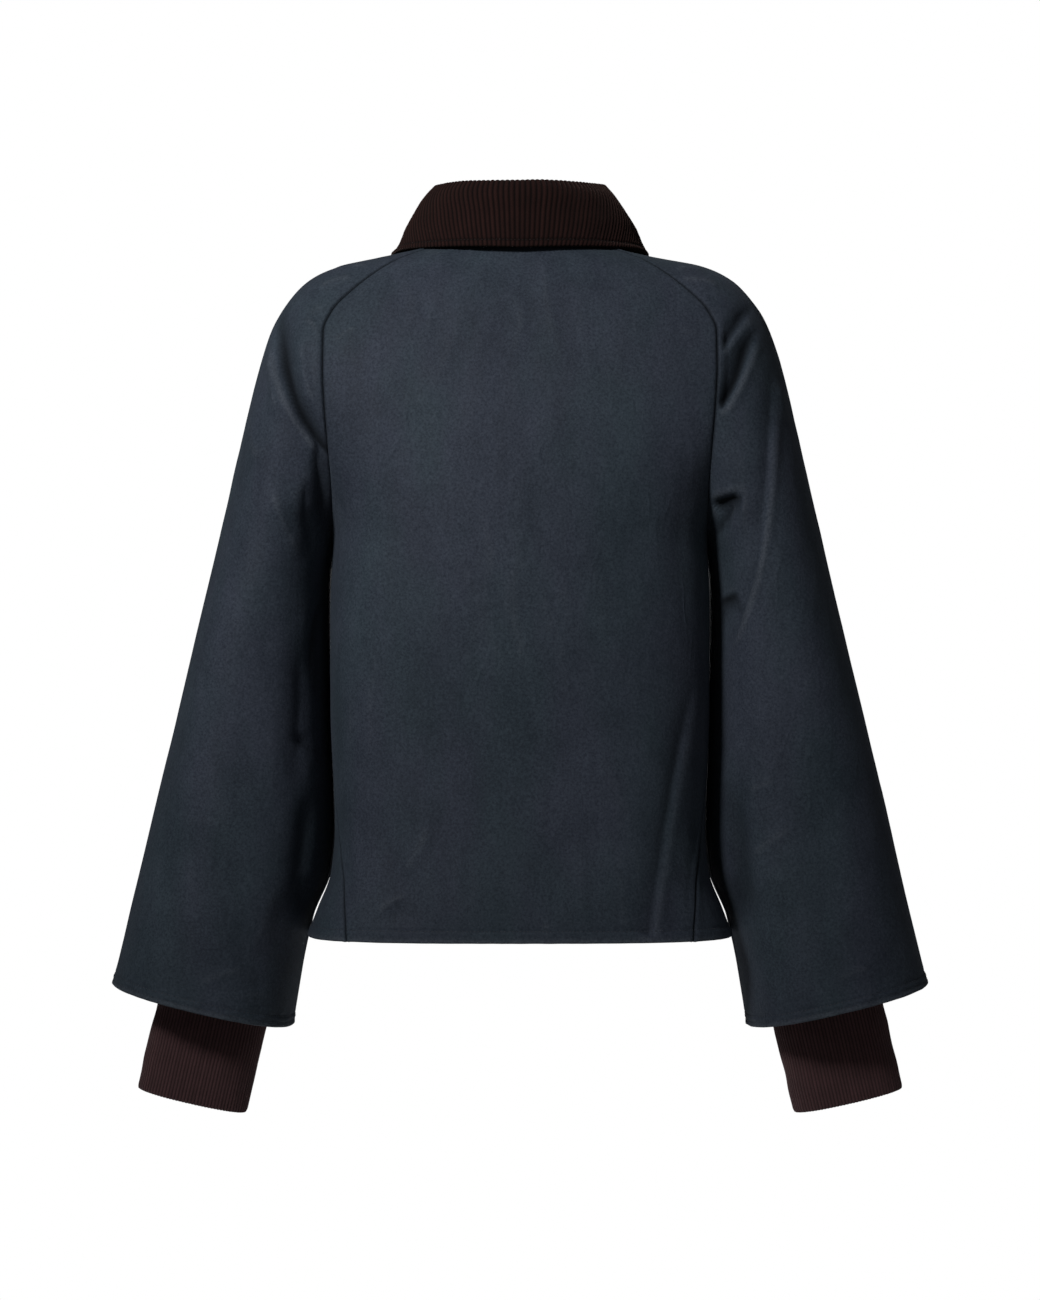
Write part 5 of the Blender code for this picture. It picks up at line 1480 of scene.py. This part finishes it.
def make_skirt(name, side):
    """The lining ring between the sleeve and the cuff, gathered a little."""
    sleeve = sewn_cloth()["sleeve_" + name]
    join_z = read(SLEEVE, "inner_z", SKIRT_SHARE) * MM
    row = int(np.argmin(np.abs(sleeve.grid[:RING_ROWS, 0, 2] - join_z)))
    row -= row % 2
    top = sleeve.inner[row] - sleeve.normals[row] * SEAM_GAP
    up = unit(CUFF_TOP - CUFF_BOTTOM)
    low = cuff_section(CUFF_TOP + up * SEAM_GAP, 1 - RIB / 2 / CUFF_HALF_DEPTH, len(top) - 1)
    if side < 0:
        low = mirrored(low[None])[0]
    share = np.linspace(0.0, 1.0, SKIRT_ROWS + 1)[:, None, None]
    grid = low + (top - low) * share
    normals = grid_normals(grid, len(grid))
    turn = np.linspace(0.0, 2 * math.pi, len(top))
    waves = np.sin(GATHERS * turn + 1.3 * np.sin(3 * turn)) * GATHER_DEPTH
    fade = ease(share[..., 0] / GATHER_FADE) * ease((1 - share[..., 0]) / GATHER_FADE)
    outer = grid + normals * (waves[None, :] * fade)[..., None]
    made = wall("cuff_skirt_" + name + "_cloth", outer, outer - normals * LINING, finish("lining"))
    settle(made, "skirt_lining", "cuff_skirt_" + name)
    return made


# ---------------------------------------------------------------- the zip

ZIP_CLOTH = 1.8 * MM        # the solid's cloth, which the tape lies behind
TAPE = 1.0 * MM
TAPE_INNER_X = 1.2 * MM
TAPE_OUTER_X = 15.0 * MM
TAPE_COLUMNS = 16
SLIDER_GAP = 6.5 * MM       # of the slider, where no teeth show
PIN = Vector((0.0, -0.095699, -0.093657))
ZIP_UP = Vector((0.0, 0.41879, 0.90808)).normalized()
PIN_HEIGHT = 4.4 * MM       # over the tape's face
SLIDER_CLEARANCE = 0.4 * MM
SLIDER_WIDTH = 9.0 * MM
SLIDER_HEIGHT = 11.0 * MM
FRONT_PLATE = 1.4 * MM
BACK_PLATE = 1.2 * MM
POST_WIDTH = 1.4 * MM
POST_HEIGHT = 4.0 * MM
PIN_RADIUS = 0.8 * MM
JOIN = 0.1 * MM             # how far the slider's parts run into one another
LUG_START = 2.3 * MM
LUG_WIDTH = 1.0 * MM
LUG_HEIGHT = 2.4 * MM
EYE_LENGTH = 4.0 * MM
EYE_OUTER = 2.0 * MM
EYE_INNER = 1.2 * MM
TAB_WIDTH = 6.0 * MM
TAB_THICKNESS = 1.2 * MM
TAB_TOP = 2.7 * MM
TAB_LENGTH = 27.0 * MM
PARTING = 1.3 * MM          # how far the tapes' teeth stand apart above the slider
FIRST_TOOTH = 7.0 * MM      # above the tape's lower end, and the last one below its upper end
LAST_TOOTH = 3.0 * MM
TUBE_SIDES = 32
CORNER_STEPS = 6
TOOTH_SIDES = 8
TOOTH_PROFILE = (           # y, half width and half height, in mm
    (-1.7, 0.44, 1.10),
    (-1.5, 0.50, 1.22),
    (0.5,  0.50, 1.22),
    (0.9,  0.36, 1.0),
    (1.5,  0.40, 0.86),
    (2.0,  0.26, 0.6),
)


@functools.cache
def left_tape():
    """The left tape's face and normals: rows from the hem up, columns from its inner edge."""
    piece = sewn_cloth()["front_left"]
    x = np.linspace(TAPE_INNER_X, TAPE_OUTER_X, TAPE_COLUMNS + 1)
    rows = []
    for row in range(0, len(piece.grid), 2):
        behind = piece.grid[row] - piece.normals[row] * (ZIP_CLOTH + SEAM_GAP)
        rows.append(points(x, *(np.interp(x, behind[:, 0], behind[:, axis]) for axis in (1, 2))))
    face = np.array(rows)
    return face, grid_normals(face)


def prism(work, outline, low, high):
    """A solid between two copies of an outline in X and Z, from y low to y high."""
    ends = [[work.verts.new((x, y, z)) for x, z in outline] for y in (low, high)]
    count = len(outline)
    work.faces.new(ends[0])
    work.faces.new(ends[1][::-1])
    for i in range(count):
        j = (i + 1) % count
        work.faces.new((ends[0][j], ends[0][i], ends[1][i], ends[1][j]))


def tube_along_x(work, outer, inner, start, end, y):
    """A bored cylinder along X at a height y, or a solid one where inner is 0."""
    turns = np.linspace(0.0, 2 * math.pi, TUBE_SIDES, endpoint=False)
    rings = {}
    for radius in {outer, inner} - {0.0}:
        for x in (start, end):
            rings[radius, x] = [work.verts.new((x, y + radius * math.cos(t), radius * math.sin(t)))
                                for t in turns]
    first, last = rings[outer, start], rings[outer, end]
    for i in range(TUBE_SIDES):
        j = (i + 1) % TUBE_SIDES
        work.faces.new((first[i], last[i], last[j], first[j]))
        if inner:
            bore_first, bore_last = rings[inner, start], rings[inner, end]
            work.faces.new((bore_first[j], bore_last[j], bore_last[i], bore_first[i]))
            work.faces.new((first[j], bore_first[j], bore_first[i], first[i]))
            work.faces.new((last[i], bore_last[i], bore_last[j], last[j]))
    if not inner:
        work.faces.new(first[::-1])
        work.faces.new(last)


def box_outline(left, right, low, high):
    """The corners of an upright rectangle."""
    return [(left, low), (right, low), (right, high), (left, high)]


def rounded_outline(half_widths, heights, corner):
    """A closed outline, even about the middle, with rounded corners; from the bottom up."""
    raw = [(w, h) for w, h in zip(half_widths, heights)]
    raw = [(-w, h) for w, h in raw] + raw[::-1]
    done = []
    for i, point in enumerate(raw):
        before, after = Vector(raw[i - 1]), Vector(raw[(i + 1) % len(raw)])
        here = Vector(point)
        reach = min(corner, (before - here).length / 2.05, (after - here).length / 2.05)
        a = here + (before - here).normalized() * reach
        b = here + (after - here).normalized() * reach
        for step in range(CORNER_STEPS + 1):
            t = step / CORNER_STEPS
            done.append(tuple(a * (1 - t) ** 2 + here * 2 * t * (1 - t) + b * t * t))
    return done


def hardware(name, work, place, bevel, body):
    """A bevelled metal piece from a bmesh, set at its place."""
    bmesh.ops.recalc_face_normals(work, faces=work.faces)
    made = from_bmesh(work, name)
    modifier = made.modifiers.new("bevel", "BEVEL")
    modifier.width = bevel
    modifier.segments = 3
    modifier.limit_method = "ANGLE"
    modifier.angle_limit = math.radians(40)
    modifier.use_clamp_overlap = True
    made.data = plain_mesh(made)
    made.modifiers.clear()
    made.data.transform(place)
    made.data.shade_smooth()
    made.data.set_sharp_from_angle(angle=math.radians(50))
    made.data.materials.clear()
    made.data.materials.append(finish("brass"))
    settle(made, "antique_brass", body=body)
    return made


def zip_place():
    """The slider's place: X across, Y out of the jacket, Z up along the zip, on the tape's face."""
    across = Vector((-1.0, 0.0, 0.0))
    out = ZIP_UP.cross(across)
    place = Matrix((across, out, ZIP_UP)).transposed().to_4x4()
    place.translation = PIN - out * PIN_HEIGHT
    return place


# ---------------------------------------------------------------- settings

def length(name, description, default, low, high):
    """A property that is a length."""
    return FloatProperty(name=name, description=description, default=default, min=low, max=high,
                         subtype="DISTANCE", unit="LENGTH")


def colour(name, description, default):
    """A property that is a colour."""
    return FloatVectorProperty(name=name, description=description, default=default, min=0.0, max=1.0,
                               subtype="COLOR")


class JacketCloth(bpy.types.PropertyGroup):
    """Sizes of the waxed cloth."""
    thickness: length("Thickness", "Thickness of the waxed cloth with its backing", CLOTH, 1.0 * MM, 3.0 * MM)
    creases: FloatProperty(name="Creases", description="Depth of the worn creases against their own",
                           default=1.0, min=0.0, max=1.2, subtype="FACTOR")
    unevenness: FloatProperty(name="Unevenness",
                              description="Height of the cloth's small swells and crumples",
                              default=1.0, min=0.0, max=2.0, subtype="FACTOR")


class JacketTrims(bpy.types.PropertyGroup):
    """Sizes of the collar, the cuffs, the sewing and the zip."""
    wales: IntProperty(name="Wales", description="Ribs of corduroy round the collar", default=150,
                       min=60, max=160)
    wale_height: length("Wale height", "Height of the corduroy's wales", 0.75 * MM, 0.2 * MM, 1.0 * MM)
    ribs: IntProperty(name="Ribs", description="Ribs round each storm cuff", default=90, min=40, max=110)
    rib_height: length("Rib height", "Height of the cuffs' ribs", 0.7 * MM, 0.2 * MM, 1.2 * MM)
    stitch: length("Stitch", "Length of one stitch", 2.3 * MM, 1.5 * MM, 4.0 * MM)
    stitch_spacing: length("Stitch spacing", "From one stitch to the next", 3.0 * MM, 2.0 * MM, 6.0 * MM)
    tooth_spacing: length("Tooth spacing", "From one tooth of the zip to the next on the same tape", 2.4 * MM,
                          2.0 * MM, 4.0 * MM)


class JacketLooks(bpy.types.PropertyGroup):
    """Colours of the jacket's finishes."""
    dark: colour("Waxed cloth, dark", "Where the wax lies thick", (0.0225, 0.0292, 0.0405))
    light: colour("Waxed cloth, pale", "Where the wax lies thin", (0.0385, 0.0482, 0.0650))
    rubbed: colour("Waxed cloth, rubbed", "Along edges and ridges", (0.078, 0.088, 0.104))
    pile: colour("Corduroy pile", "The tops of the wales", (0.0250, 0.0094, 0.0080))
    # the groove colour is painted shade between the wales
    groove: colour("Corduroy groove", "Between the wales", (0.0008, 0.0004, 0.0004))
    rib: colour("Rib", "The tops of the cuffs' ribs", (0.094, 0.0450, 0.0480))
    # the colour between the cuffs' ribs is painted shade
    rib_groove_shade: colour("Rib groove", "Between the cuffs' ribs", (0.018, 0.0100, 0.0100))
    lining: colour("Lining", "The skirts inside the sleeves", (0.020, 0.022, 0.026))
    tape: colour("Zip tape", "The woven tapes", (0.018, 0.020, 0.026))
    thread: colour("Thread", "The sewing of the waxed cloth", (0.040, 0.046, 0.060))
    collar_thread: colour("Collar's thread", "The collar's sewing", (0.012, 0.006, 0.0055))
    brass: colour("Brass", "The zip's metal", (0.45, 0.33, 0.16))


# ---------------------------------------------------------------- operators

THREAD_LIFT = 0.1 * MM      # of the stitches over the cloth
COLLAR_THREAD_LIFT = 0.15 * MM
STITCH_UNEVENNESS = 0.12


def raised(line, ways, part, lift):
    """A part of a line, raised along its outward directions, with those."""
    return line[part] + ways[part] * lift, ways[part]


def skin(work, loops):
    """Faces round a row of equal loops, closed at both ends."""
    sides = len(loops[0])
    for first, second in zip(loops[:-1], loops[1:]):
        for i in range(sides):
            j = (i + 1) % sides
            work.faces.new((first[i], second[i], second[j], first[j]))
    work.faces.new(loops[0])
    work.faces.new(loops[-1][::-1])


def item_from(work, name):
    """An object to repeat, from a bmesh whose faces are turned out."""
    bmesh.ops.recalc_face_normals(work, faces=work.faces)
    return from_bmesh(work, name)


def stitch_item(size):
    """One stitch of thread along X, of a size, lying on its path with its ends sunk."""
    rings, sides = 7, 6
    work = bmesh.new()
    loops = []
    for ring in range(1, rings):
        t = ring / rings
        bow = math.sin(math.pi * t)
        radius = size * 0.135 * min(1.0, bow * 1.6)
        lift = size * 0.10 * (bow - 0.75)
        turns = np.linspace(0.0, 2 * math.pi, sides, endpoint=False)
        loops.append([work.verts.new((size * (t - 0.5), radius * math.cos(turn),
                                      lift + 0.8 * radius * math.sin(turn))) for turn in turns])
    skin(work, loops)
    return item_from(work, "stitch_item")


def tooth_item():
    """One tooth: a clamp over the tape's edge and a rounded nose; X along the zip, Y to the nose."""
    work = bmesh.new()
    turns = np.linspace(0.0, 2 * math.pi, TOOTH_SIDES, endpoint=False) + math.pi / TOOTH_SIDES
    loops = []
    for y, half_width, half_height in TOOTH_PROFILE:
        loops.append([work.verts.new((half_width * MM * float(power(math.cos(turn), 0.6)) * 1.05, y * MM,
                                      half_height * MM * float(power(math.sin(turn), 0.6)) * 1.05))
                      for turn in turns])
    skin(work, loops)
    return item_from(work, "tooth_item")


class JACKET_OT_shell(bpy.types.Operator):
    """Makes the back, the two fronts and the two raglan sleeves"""
    bl_idname = "jacket.shell"
    bl_label = "Waxed cloth"

    def execute(self, context):
        for name, (flat, area) in SHELL_CUTS.items():
            made = make_cloth_piece(name)
        return {"FINISHED"}


class JACKET_OT_collar(bpy.types.Operator):
    """Makes the folded corduroy collar"""
    bl_idname = "jacket.collar"
    bl_label = "Corduroy collar"

    def execute(self, context):
        outer, _, pile, inner, _ = collar_surface()
        made = wall("collar_cloth", outer, inner, finish("corduroy"), (0, COLLAR_ROWS), pile,
                    (2, WALE_COLUMNS))
        settle(made, "corduroy_brown", "collar")
        return {"FINISHED"}


class JACKET_OT_cuffs(bpy.types.Operator):
    """Makes the two rib storm cuffs"""
    bl_idname = "jacket.cuffs"
    bl_label = "Storm cuffs"

    def execute(self, context):
        trims = context.scene.jacket_trims
        for name, side, seed in (("left", 1, 11.0), ("right", -1, 23.0)):
            outer, inner, rib = left_cuff(trims.ribs, trims.rib_height, seed)
            if side < 0:
                outer, inner, rib = mirrored(outer), mirrored(inner), rib[:, ::-1]
            made = wall("cuff_" + name + "_knit", outer, inner, finish("rib"), None, rib, (2, RIB_COLUMNS))
            settle(made, "rib_brown", "cuff_" + name)
        return {"FINISHED"}


class JACKET_OT_skirts(bpy.types.Operator):
    """Makes the lining skirts that carry the cuffs inside the sleeves"""
    bl_idname = "jacket.skirts"
    bl_label = "Lining skirts"

    def execute(self, context):
        for name, side in (("left", 1), ("right", -1)):
            made = make_skirt(name, side)
        return {"FINISHED"}


class JACKET_OT_tapes(bpy.types.Operator):
    """Makes the two woven zip tapes"""
    bl_idname = "jacket.tapes"
    bl_label = "Zip tapes"

    def execute(self, context):
        face, normals = left_tape()
        for name, grid, out in (("left", face, normals), ("right", mirrored(face), mirrored(normals))):
            made = wall("zip_tape_" + name + "_cloth", grid, grid - out * TAPE, finish("tape"),
                        (0, len(grid) - 1), None, (1, 2))
            settle(made, "zip_tape", "zip_tape_" + name)
        return {"FINISHED"}


class JACKET_OT_teeth(bpy.types.Operator):
    """Sets the zip's teeth on the tapes, closed below the slider and open above it"""
    bl_idname = "jacket.teeth"
    bl_label = "Zip teeth"

    def execute(self, context):
        spacing = context.scene.jacket_trims.tooth_spacing
        face, normals = left_tape()
        slider_z = zip_place().translation.z
        line = face[:, 0] - normals[:, 0] * TAPE / 2
        ways = normals[:, 0]
        lines = []
        for side in (1, -1):
            for low, high, parted in ((line[0, 2] + FIRST_TOOTH, slider_z - SLIDER_GAP, 0.0),
                                      (slider_z + SLIDER_GAP, line[-1, 2] - LAST_TOOTH, PARTING)):
                low += 0.0 if side > 0 else spacing / 2
                z = np.linspace(low, high, 90)
                spots, out = along_line(z, line[:, 2], line), along_line(z, line[:, 2], ways)
                spots[:, 0] += parted
                out[:, 0] = 0.0
                out = unit(out)
                if side < 0:
                    spots, out = spots[::-1] * (-1, 1, 1), out[::-1]
                lines.append((spots, out))
        made = repeat_along("zip_teeth", lines, tooth_item(), spacing, 0.0, 1, finish("brass"))
        settle(made, "antique_brass")
        return {"FINISHED"}


class JACKET_OT_slider(bpy.types.Operator):
    """Makes the zip's slider, with the lugs and pin that carry its pull tab"""
    bl_idname = "jacket.slider"
    bl_label = "Zip slider"

    def execute(self, context):
        face = SLIDER_CLEARANCE + FRONT_PLATE
        rear = -(TAPE + SLIDER_CLEARANCE)
        half, low, high = SLIDER_WIDTH / 2, -SLIDER_HEIGHT / 2, SLIDER_HEIGHT / 2
        shield = rounded_outline((0.72 * half, 0.78 * half, half, half, 0.5 * half),
                                 (low, low / 3, 0.35 * high, 0.8 * high, high), 1.2 * MM)
        work = bmesh.new()
        prism(work, shield, SLIDER_CLEARANCE, face)
        prism(work, shield, rear - BACK_PLATE, rear)
        post = box_outline(-POST_WIDTH / 2, POST_WIDTH / 2, -POST_HEIGHT / 2, POST_HEIGHT / 2)
        prism(work, post, rear - JOIN, SLIDER_CLEARANCE + JOIN)
        for side in (-1, 1):
            left, right = sorted((side * LUG_START, side * (LUG_START + LUG_WIDTH)))
            lug = box_outline(left, right, -LUG_HEIGHT / 2, LUG_HEIGHT / 2)
            prism(work, lug, face - JOIN, PIN_HEIGHT + PIN_RADIUS + 0.3 * MM)
        reach = LUG_START + LUG_WIDTH - JOIN
        tube_along_x(work, PIN_RADIUS, 0.0, -reach, reach, PIN_HEIGHT)
        made = hardware("zip_slider_metal", work, zip_place(), 0.18 * MM, BODY)
        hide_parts("zip_slider")
        return {"FINISHED"}


class JACKET_OT_pull(bpy.types.Operator):
    """Makes the pull tab that turns on the slider's pin"""
    bl_idname = "jacket.pull"
    bl_label = "Pull tab"

    def execute(self, context):
        half = EYE_LENGTH / 2
        work = bmesh.new()
        tube_along_x(work, EYE_OUTER, EYE_INNER, -half, half, 0.0)
        tab = rounded_outline((0.42 * TAB_WIDTH, TAB_WIDTH / 2, 0.40 * TAB_WIDTH, 0.92 * half, 0.92 * half),
                              (-TAB_LENGTH, -TAB_LENGTH + 5 * MM, -2.3 * TAB_TOP, -1.3 * TAB_TOP,
                               -EYE_INNER - 0.35 * MM), 1.6 * MM)
        prism(work, tab, -TAB_THICKNESS / 2, TAB_THICKNESS / 2)
        place = zip_place() @ Matrix.Translation((0.0, PIN_HEIGHT, 0.0))
        made = hardware("zip_pull_metal", work, place, 0.22 * MM, PULL)
        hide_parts("zip_pull")
        return {"FINISHED"}


class JACKET_OT_sewing(bpy.types.Operator):
    """Sews the hems, the front edges and the collar's edge"""
    bl_idname = "jacket.sewing"
    bl_label = "Sewing"

    def execute(self, context):
        trims = context.scene.jacket_trims
        pieces = sewn_cloth()
        lines = []
        for name in ("back", "front_left", "front_right"):
            piece = pieces[name]
            line, ways = line_at(piece.outer, piece.normals, lengths_along(piece.grid, 0), HEM_STITCH)
            lines.append(raised(line, ways, slice(3, -3), THREAD_LIFT))
        for name in ("sleeve_left", "sleeve_right"):
            piece = pieces[name]
            for place in SLEEVE_STITCHES:
                line, ways = line_at(piece.outer, piece.normals, lengths_along(piece.grid, 0), place)
                lines.append(raised(line, ways, slice(None), THREAD_LIFT))
        for name in ("front_left", "front_right"):
            piece = pieces[name]
            turned, ways = piece.outer.transpose(1, 0, 2), piece.normals.transpose(1, 0, 2)
            if name == "front_right":
                turned, ways = turned[::-1], ways[::-1]
            line, ways = line_at(turned, ways, lengths_along(turned, 0), FRONT_STITCH)
            lines.append(raised(line, ways, slice(12, -2), THREAD_LIFT))
        made = repeat_along("sewing_thread", lines, stitch_item(trims.stitch), trims.stitch_spacing,
                            STITCH_UNEVENNESS, 3, finish("thread"))
        settle(made, "waxed_navy")
        outer, normals, _, _, from_edge = collar_surface()
        line, ways = line_at(outer, normals, from_edge, COLLAR_STITCH)
        smooth = line.copy()
        for axis in range(3):
            padded = np.pad(line[:, axis], 8, mode="edge")
            smooth[:, axis] = np.convolve(padded, np.full(17, 1 / 17), mode="valid")
        made = repeat_along("collar_thread", [raised(smooth, ways, slice(16, -16, 4), COLLAR_THREAD_LIFT)],
                            stitch_item(trims.stitch), trims.stitch_spacing,
                            STITCH_UNEVENNESS, 4, finish("collar_thread"))
        settle(made, "corduroy_brown")
        return {"FINISHED"}


CAMERA = Vector((0.0, 3.0, -0.325))
LENS = 101.3
FLOOR_Z = -1.45
FLOOR_RADIUS = 2.5
LIGHTS = (                  # place, what it looks at, size, watts, spread in degrees
    ((1.5, 2.4, 1.4), (0.16, 0.0, -0.01), 0.7, 3.6, 32.0),
    ((-1.2, 2.9, 0.3), (0.0, 0.0, -0.22), 1.0, 1.4, 180.0),
    ((0.0, -3.2, 0.4), (0.0, 0.0, -0.25), 0.3, 58.0, 120.0),
)
ROOM_LIGHT = 0.072


class JACKET_OT_stage(bpy.types.Operator):
    """Sets the floor, the soft lights, the white surroundings and the camera"""
    bl_idname = "jacket.stage"
    bl_label = "Floor, lights and camera"

    def execute(self, context):
        scene = context.scene
        scene.view_settings.view_transform = "Standard"
        work = bmesh.new()
        bmesh.ops.create_circle(work, cap_ends=True, segments=96, radius=FLOOR_RADIUS,
                                matrix=Matrix.Translation((0.0, 0.0, FLOOR_Z)))
        floor = from_bmesh(work, "floor")
        paint, tree, shader, place = start_finish("floor_paint", 0.9)
        tone = add_mix(tree, add_noise(tree, place, 3.0), (0.78, 0.78, 0.78), (0.82, 0.82, 0.82))
        tree.links.new(tone, shader.inputs["Base Color"])
        floor.data.materials.append(paint)
        for number, (place, target, size, watts, spread_angle) in enumerate(LIGHTS):
            lamp = bpy.data.lights.new("soft_light_%d" % number, "AREA")
            lamp.shape = "DISK"
            lamp.size = size
            lamp.energy = watts
            lamp.spread = math.radians(spread_angle)
            made = linked(lamp.name, lamp)
            made.location = place
            made.rotation_euler = (Vector(target) - Vector(place)).to_track_quat("-Z", "Y").to_euler()
        world = bpy.data.worlds.new("studio")
        scene.world = world
        world.use_nodes = True
        tree = world.node_tree
        tree.nodes.clear()
        ray = add_node(tree, "ShaderNodeLightPath")
        tone = add_mix(tree, ray.outputs["Is Camera Ray"], (ROOM_LIGHT,) * 3, (1.0, 1.0, 1.0))
        sky = add_node(tree, "ShaderNodeBackground", {"Color": tone, "Strength": 1.0})
        end = add_node(tree, "ShaderNodeOutputWorld")
        tree.links.new(sky.outputs[0], end.inputs[0])
        lens = bpy.data.cameras.new("camera")
        lens.lens = LENS
        lens.sensor_fit = "AUTO"
        lens.sensor_width = 36.0
        lens.clip_end = 50.0
        camera = linked("camera", lens)
        camera.location = CAMERA
        camera.rotation_euler = (math.radians(90), 0.0, math.radians(180))
        scene.camera = camera
        return {"FINISHED"}


SHELL_CUTS = {              # width and length of each cut, and its area in square metres
    "back": ((0.40, 0.58), 0.20),
    "front_left": ((0.20, 0.52), 0.10),
    "front_right": ((0.20, 0.52), 0.10),
    "sleeve_left": ((0.50, 0.66), 0.25),
    "sleeve_right": ((0.50, 0.66), 0.25),
}


class JACKET_PT_panel(bpy.types.Panel):
    """Lists the jacket's pieces and their sizes and colours"""
    bl_idname = "JACKET_PT_panel"
    bl_label = "Waxed Cotton Jacket"
    bl_space_type = "VIEW_3D"
    bl_region_type = "UI"
    bl_category = "Jacket"

    def draw(self, context):
        layout = self.layout
        for group in (context.scene.jacket_cloth, context.scene.jacket_trims, context.scene.jacket_looks):
            box = layout.box()
            for name in group.__annotations__:
                box.prop(group, name)
        for maker in MAKERS:
            layout.operator(maker.bl_idname)


MAKERS = (JACKET_OT_shell, JACKET_OT_collar, JACKET_OT_skirts, JACKET_OT_cuffs, JACKET_OT_tapes,
          JACKET_OT_teeth, JACKET_OT_slider, JACKET_OT_pull, JACKET_OT_sewing, JACKET_OT_stage)
GROUPS = {"jacket_cloth": JacketCloth, "jacket_trims": JacketTrims, "jacket_looks": JacketLooks}


def register():
    for group in GROUPS.values():
        bpy.utils.register_class(group)
    for name, group in GROUPS.items():
        setattr(bpy.types.Scene, name, PointerProperty(type=group))
    for maker in (*MAKERS, JACKET_PT_panel):
        bpy.utils.register_class(maker)


def unregister():
    for maker in (JACKET_PT_panel, *reversed(MAKERS)):
        bpy.utils.unregister_class(maker)
    for name in GROUPS:
        delattr(bpy.types.Scene, name)
    for group in reversed(GROUPS.values()):
        bpy.utils.unregister_class(group)


def main():
    register()
    bpy.ops.jacket.shell()
    bpy.ops.jacket.collar()
    bpy.ops.jacket.skirts()
    bpy.ops.jacket.cuffs()
    bpy.ops.jacket.tapes()
    bpy.ops.jacket.teeth()
    bpy.ops.jacket.slider()
    bpy.ops.jacket.pull()
    bpy.ops.jacket.sewing()
    bpy.ops.jacket.stage()


if __name__ == "__main__":
    main()
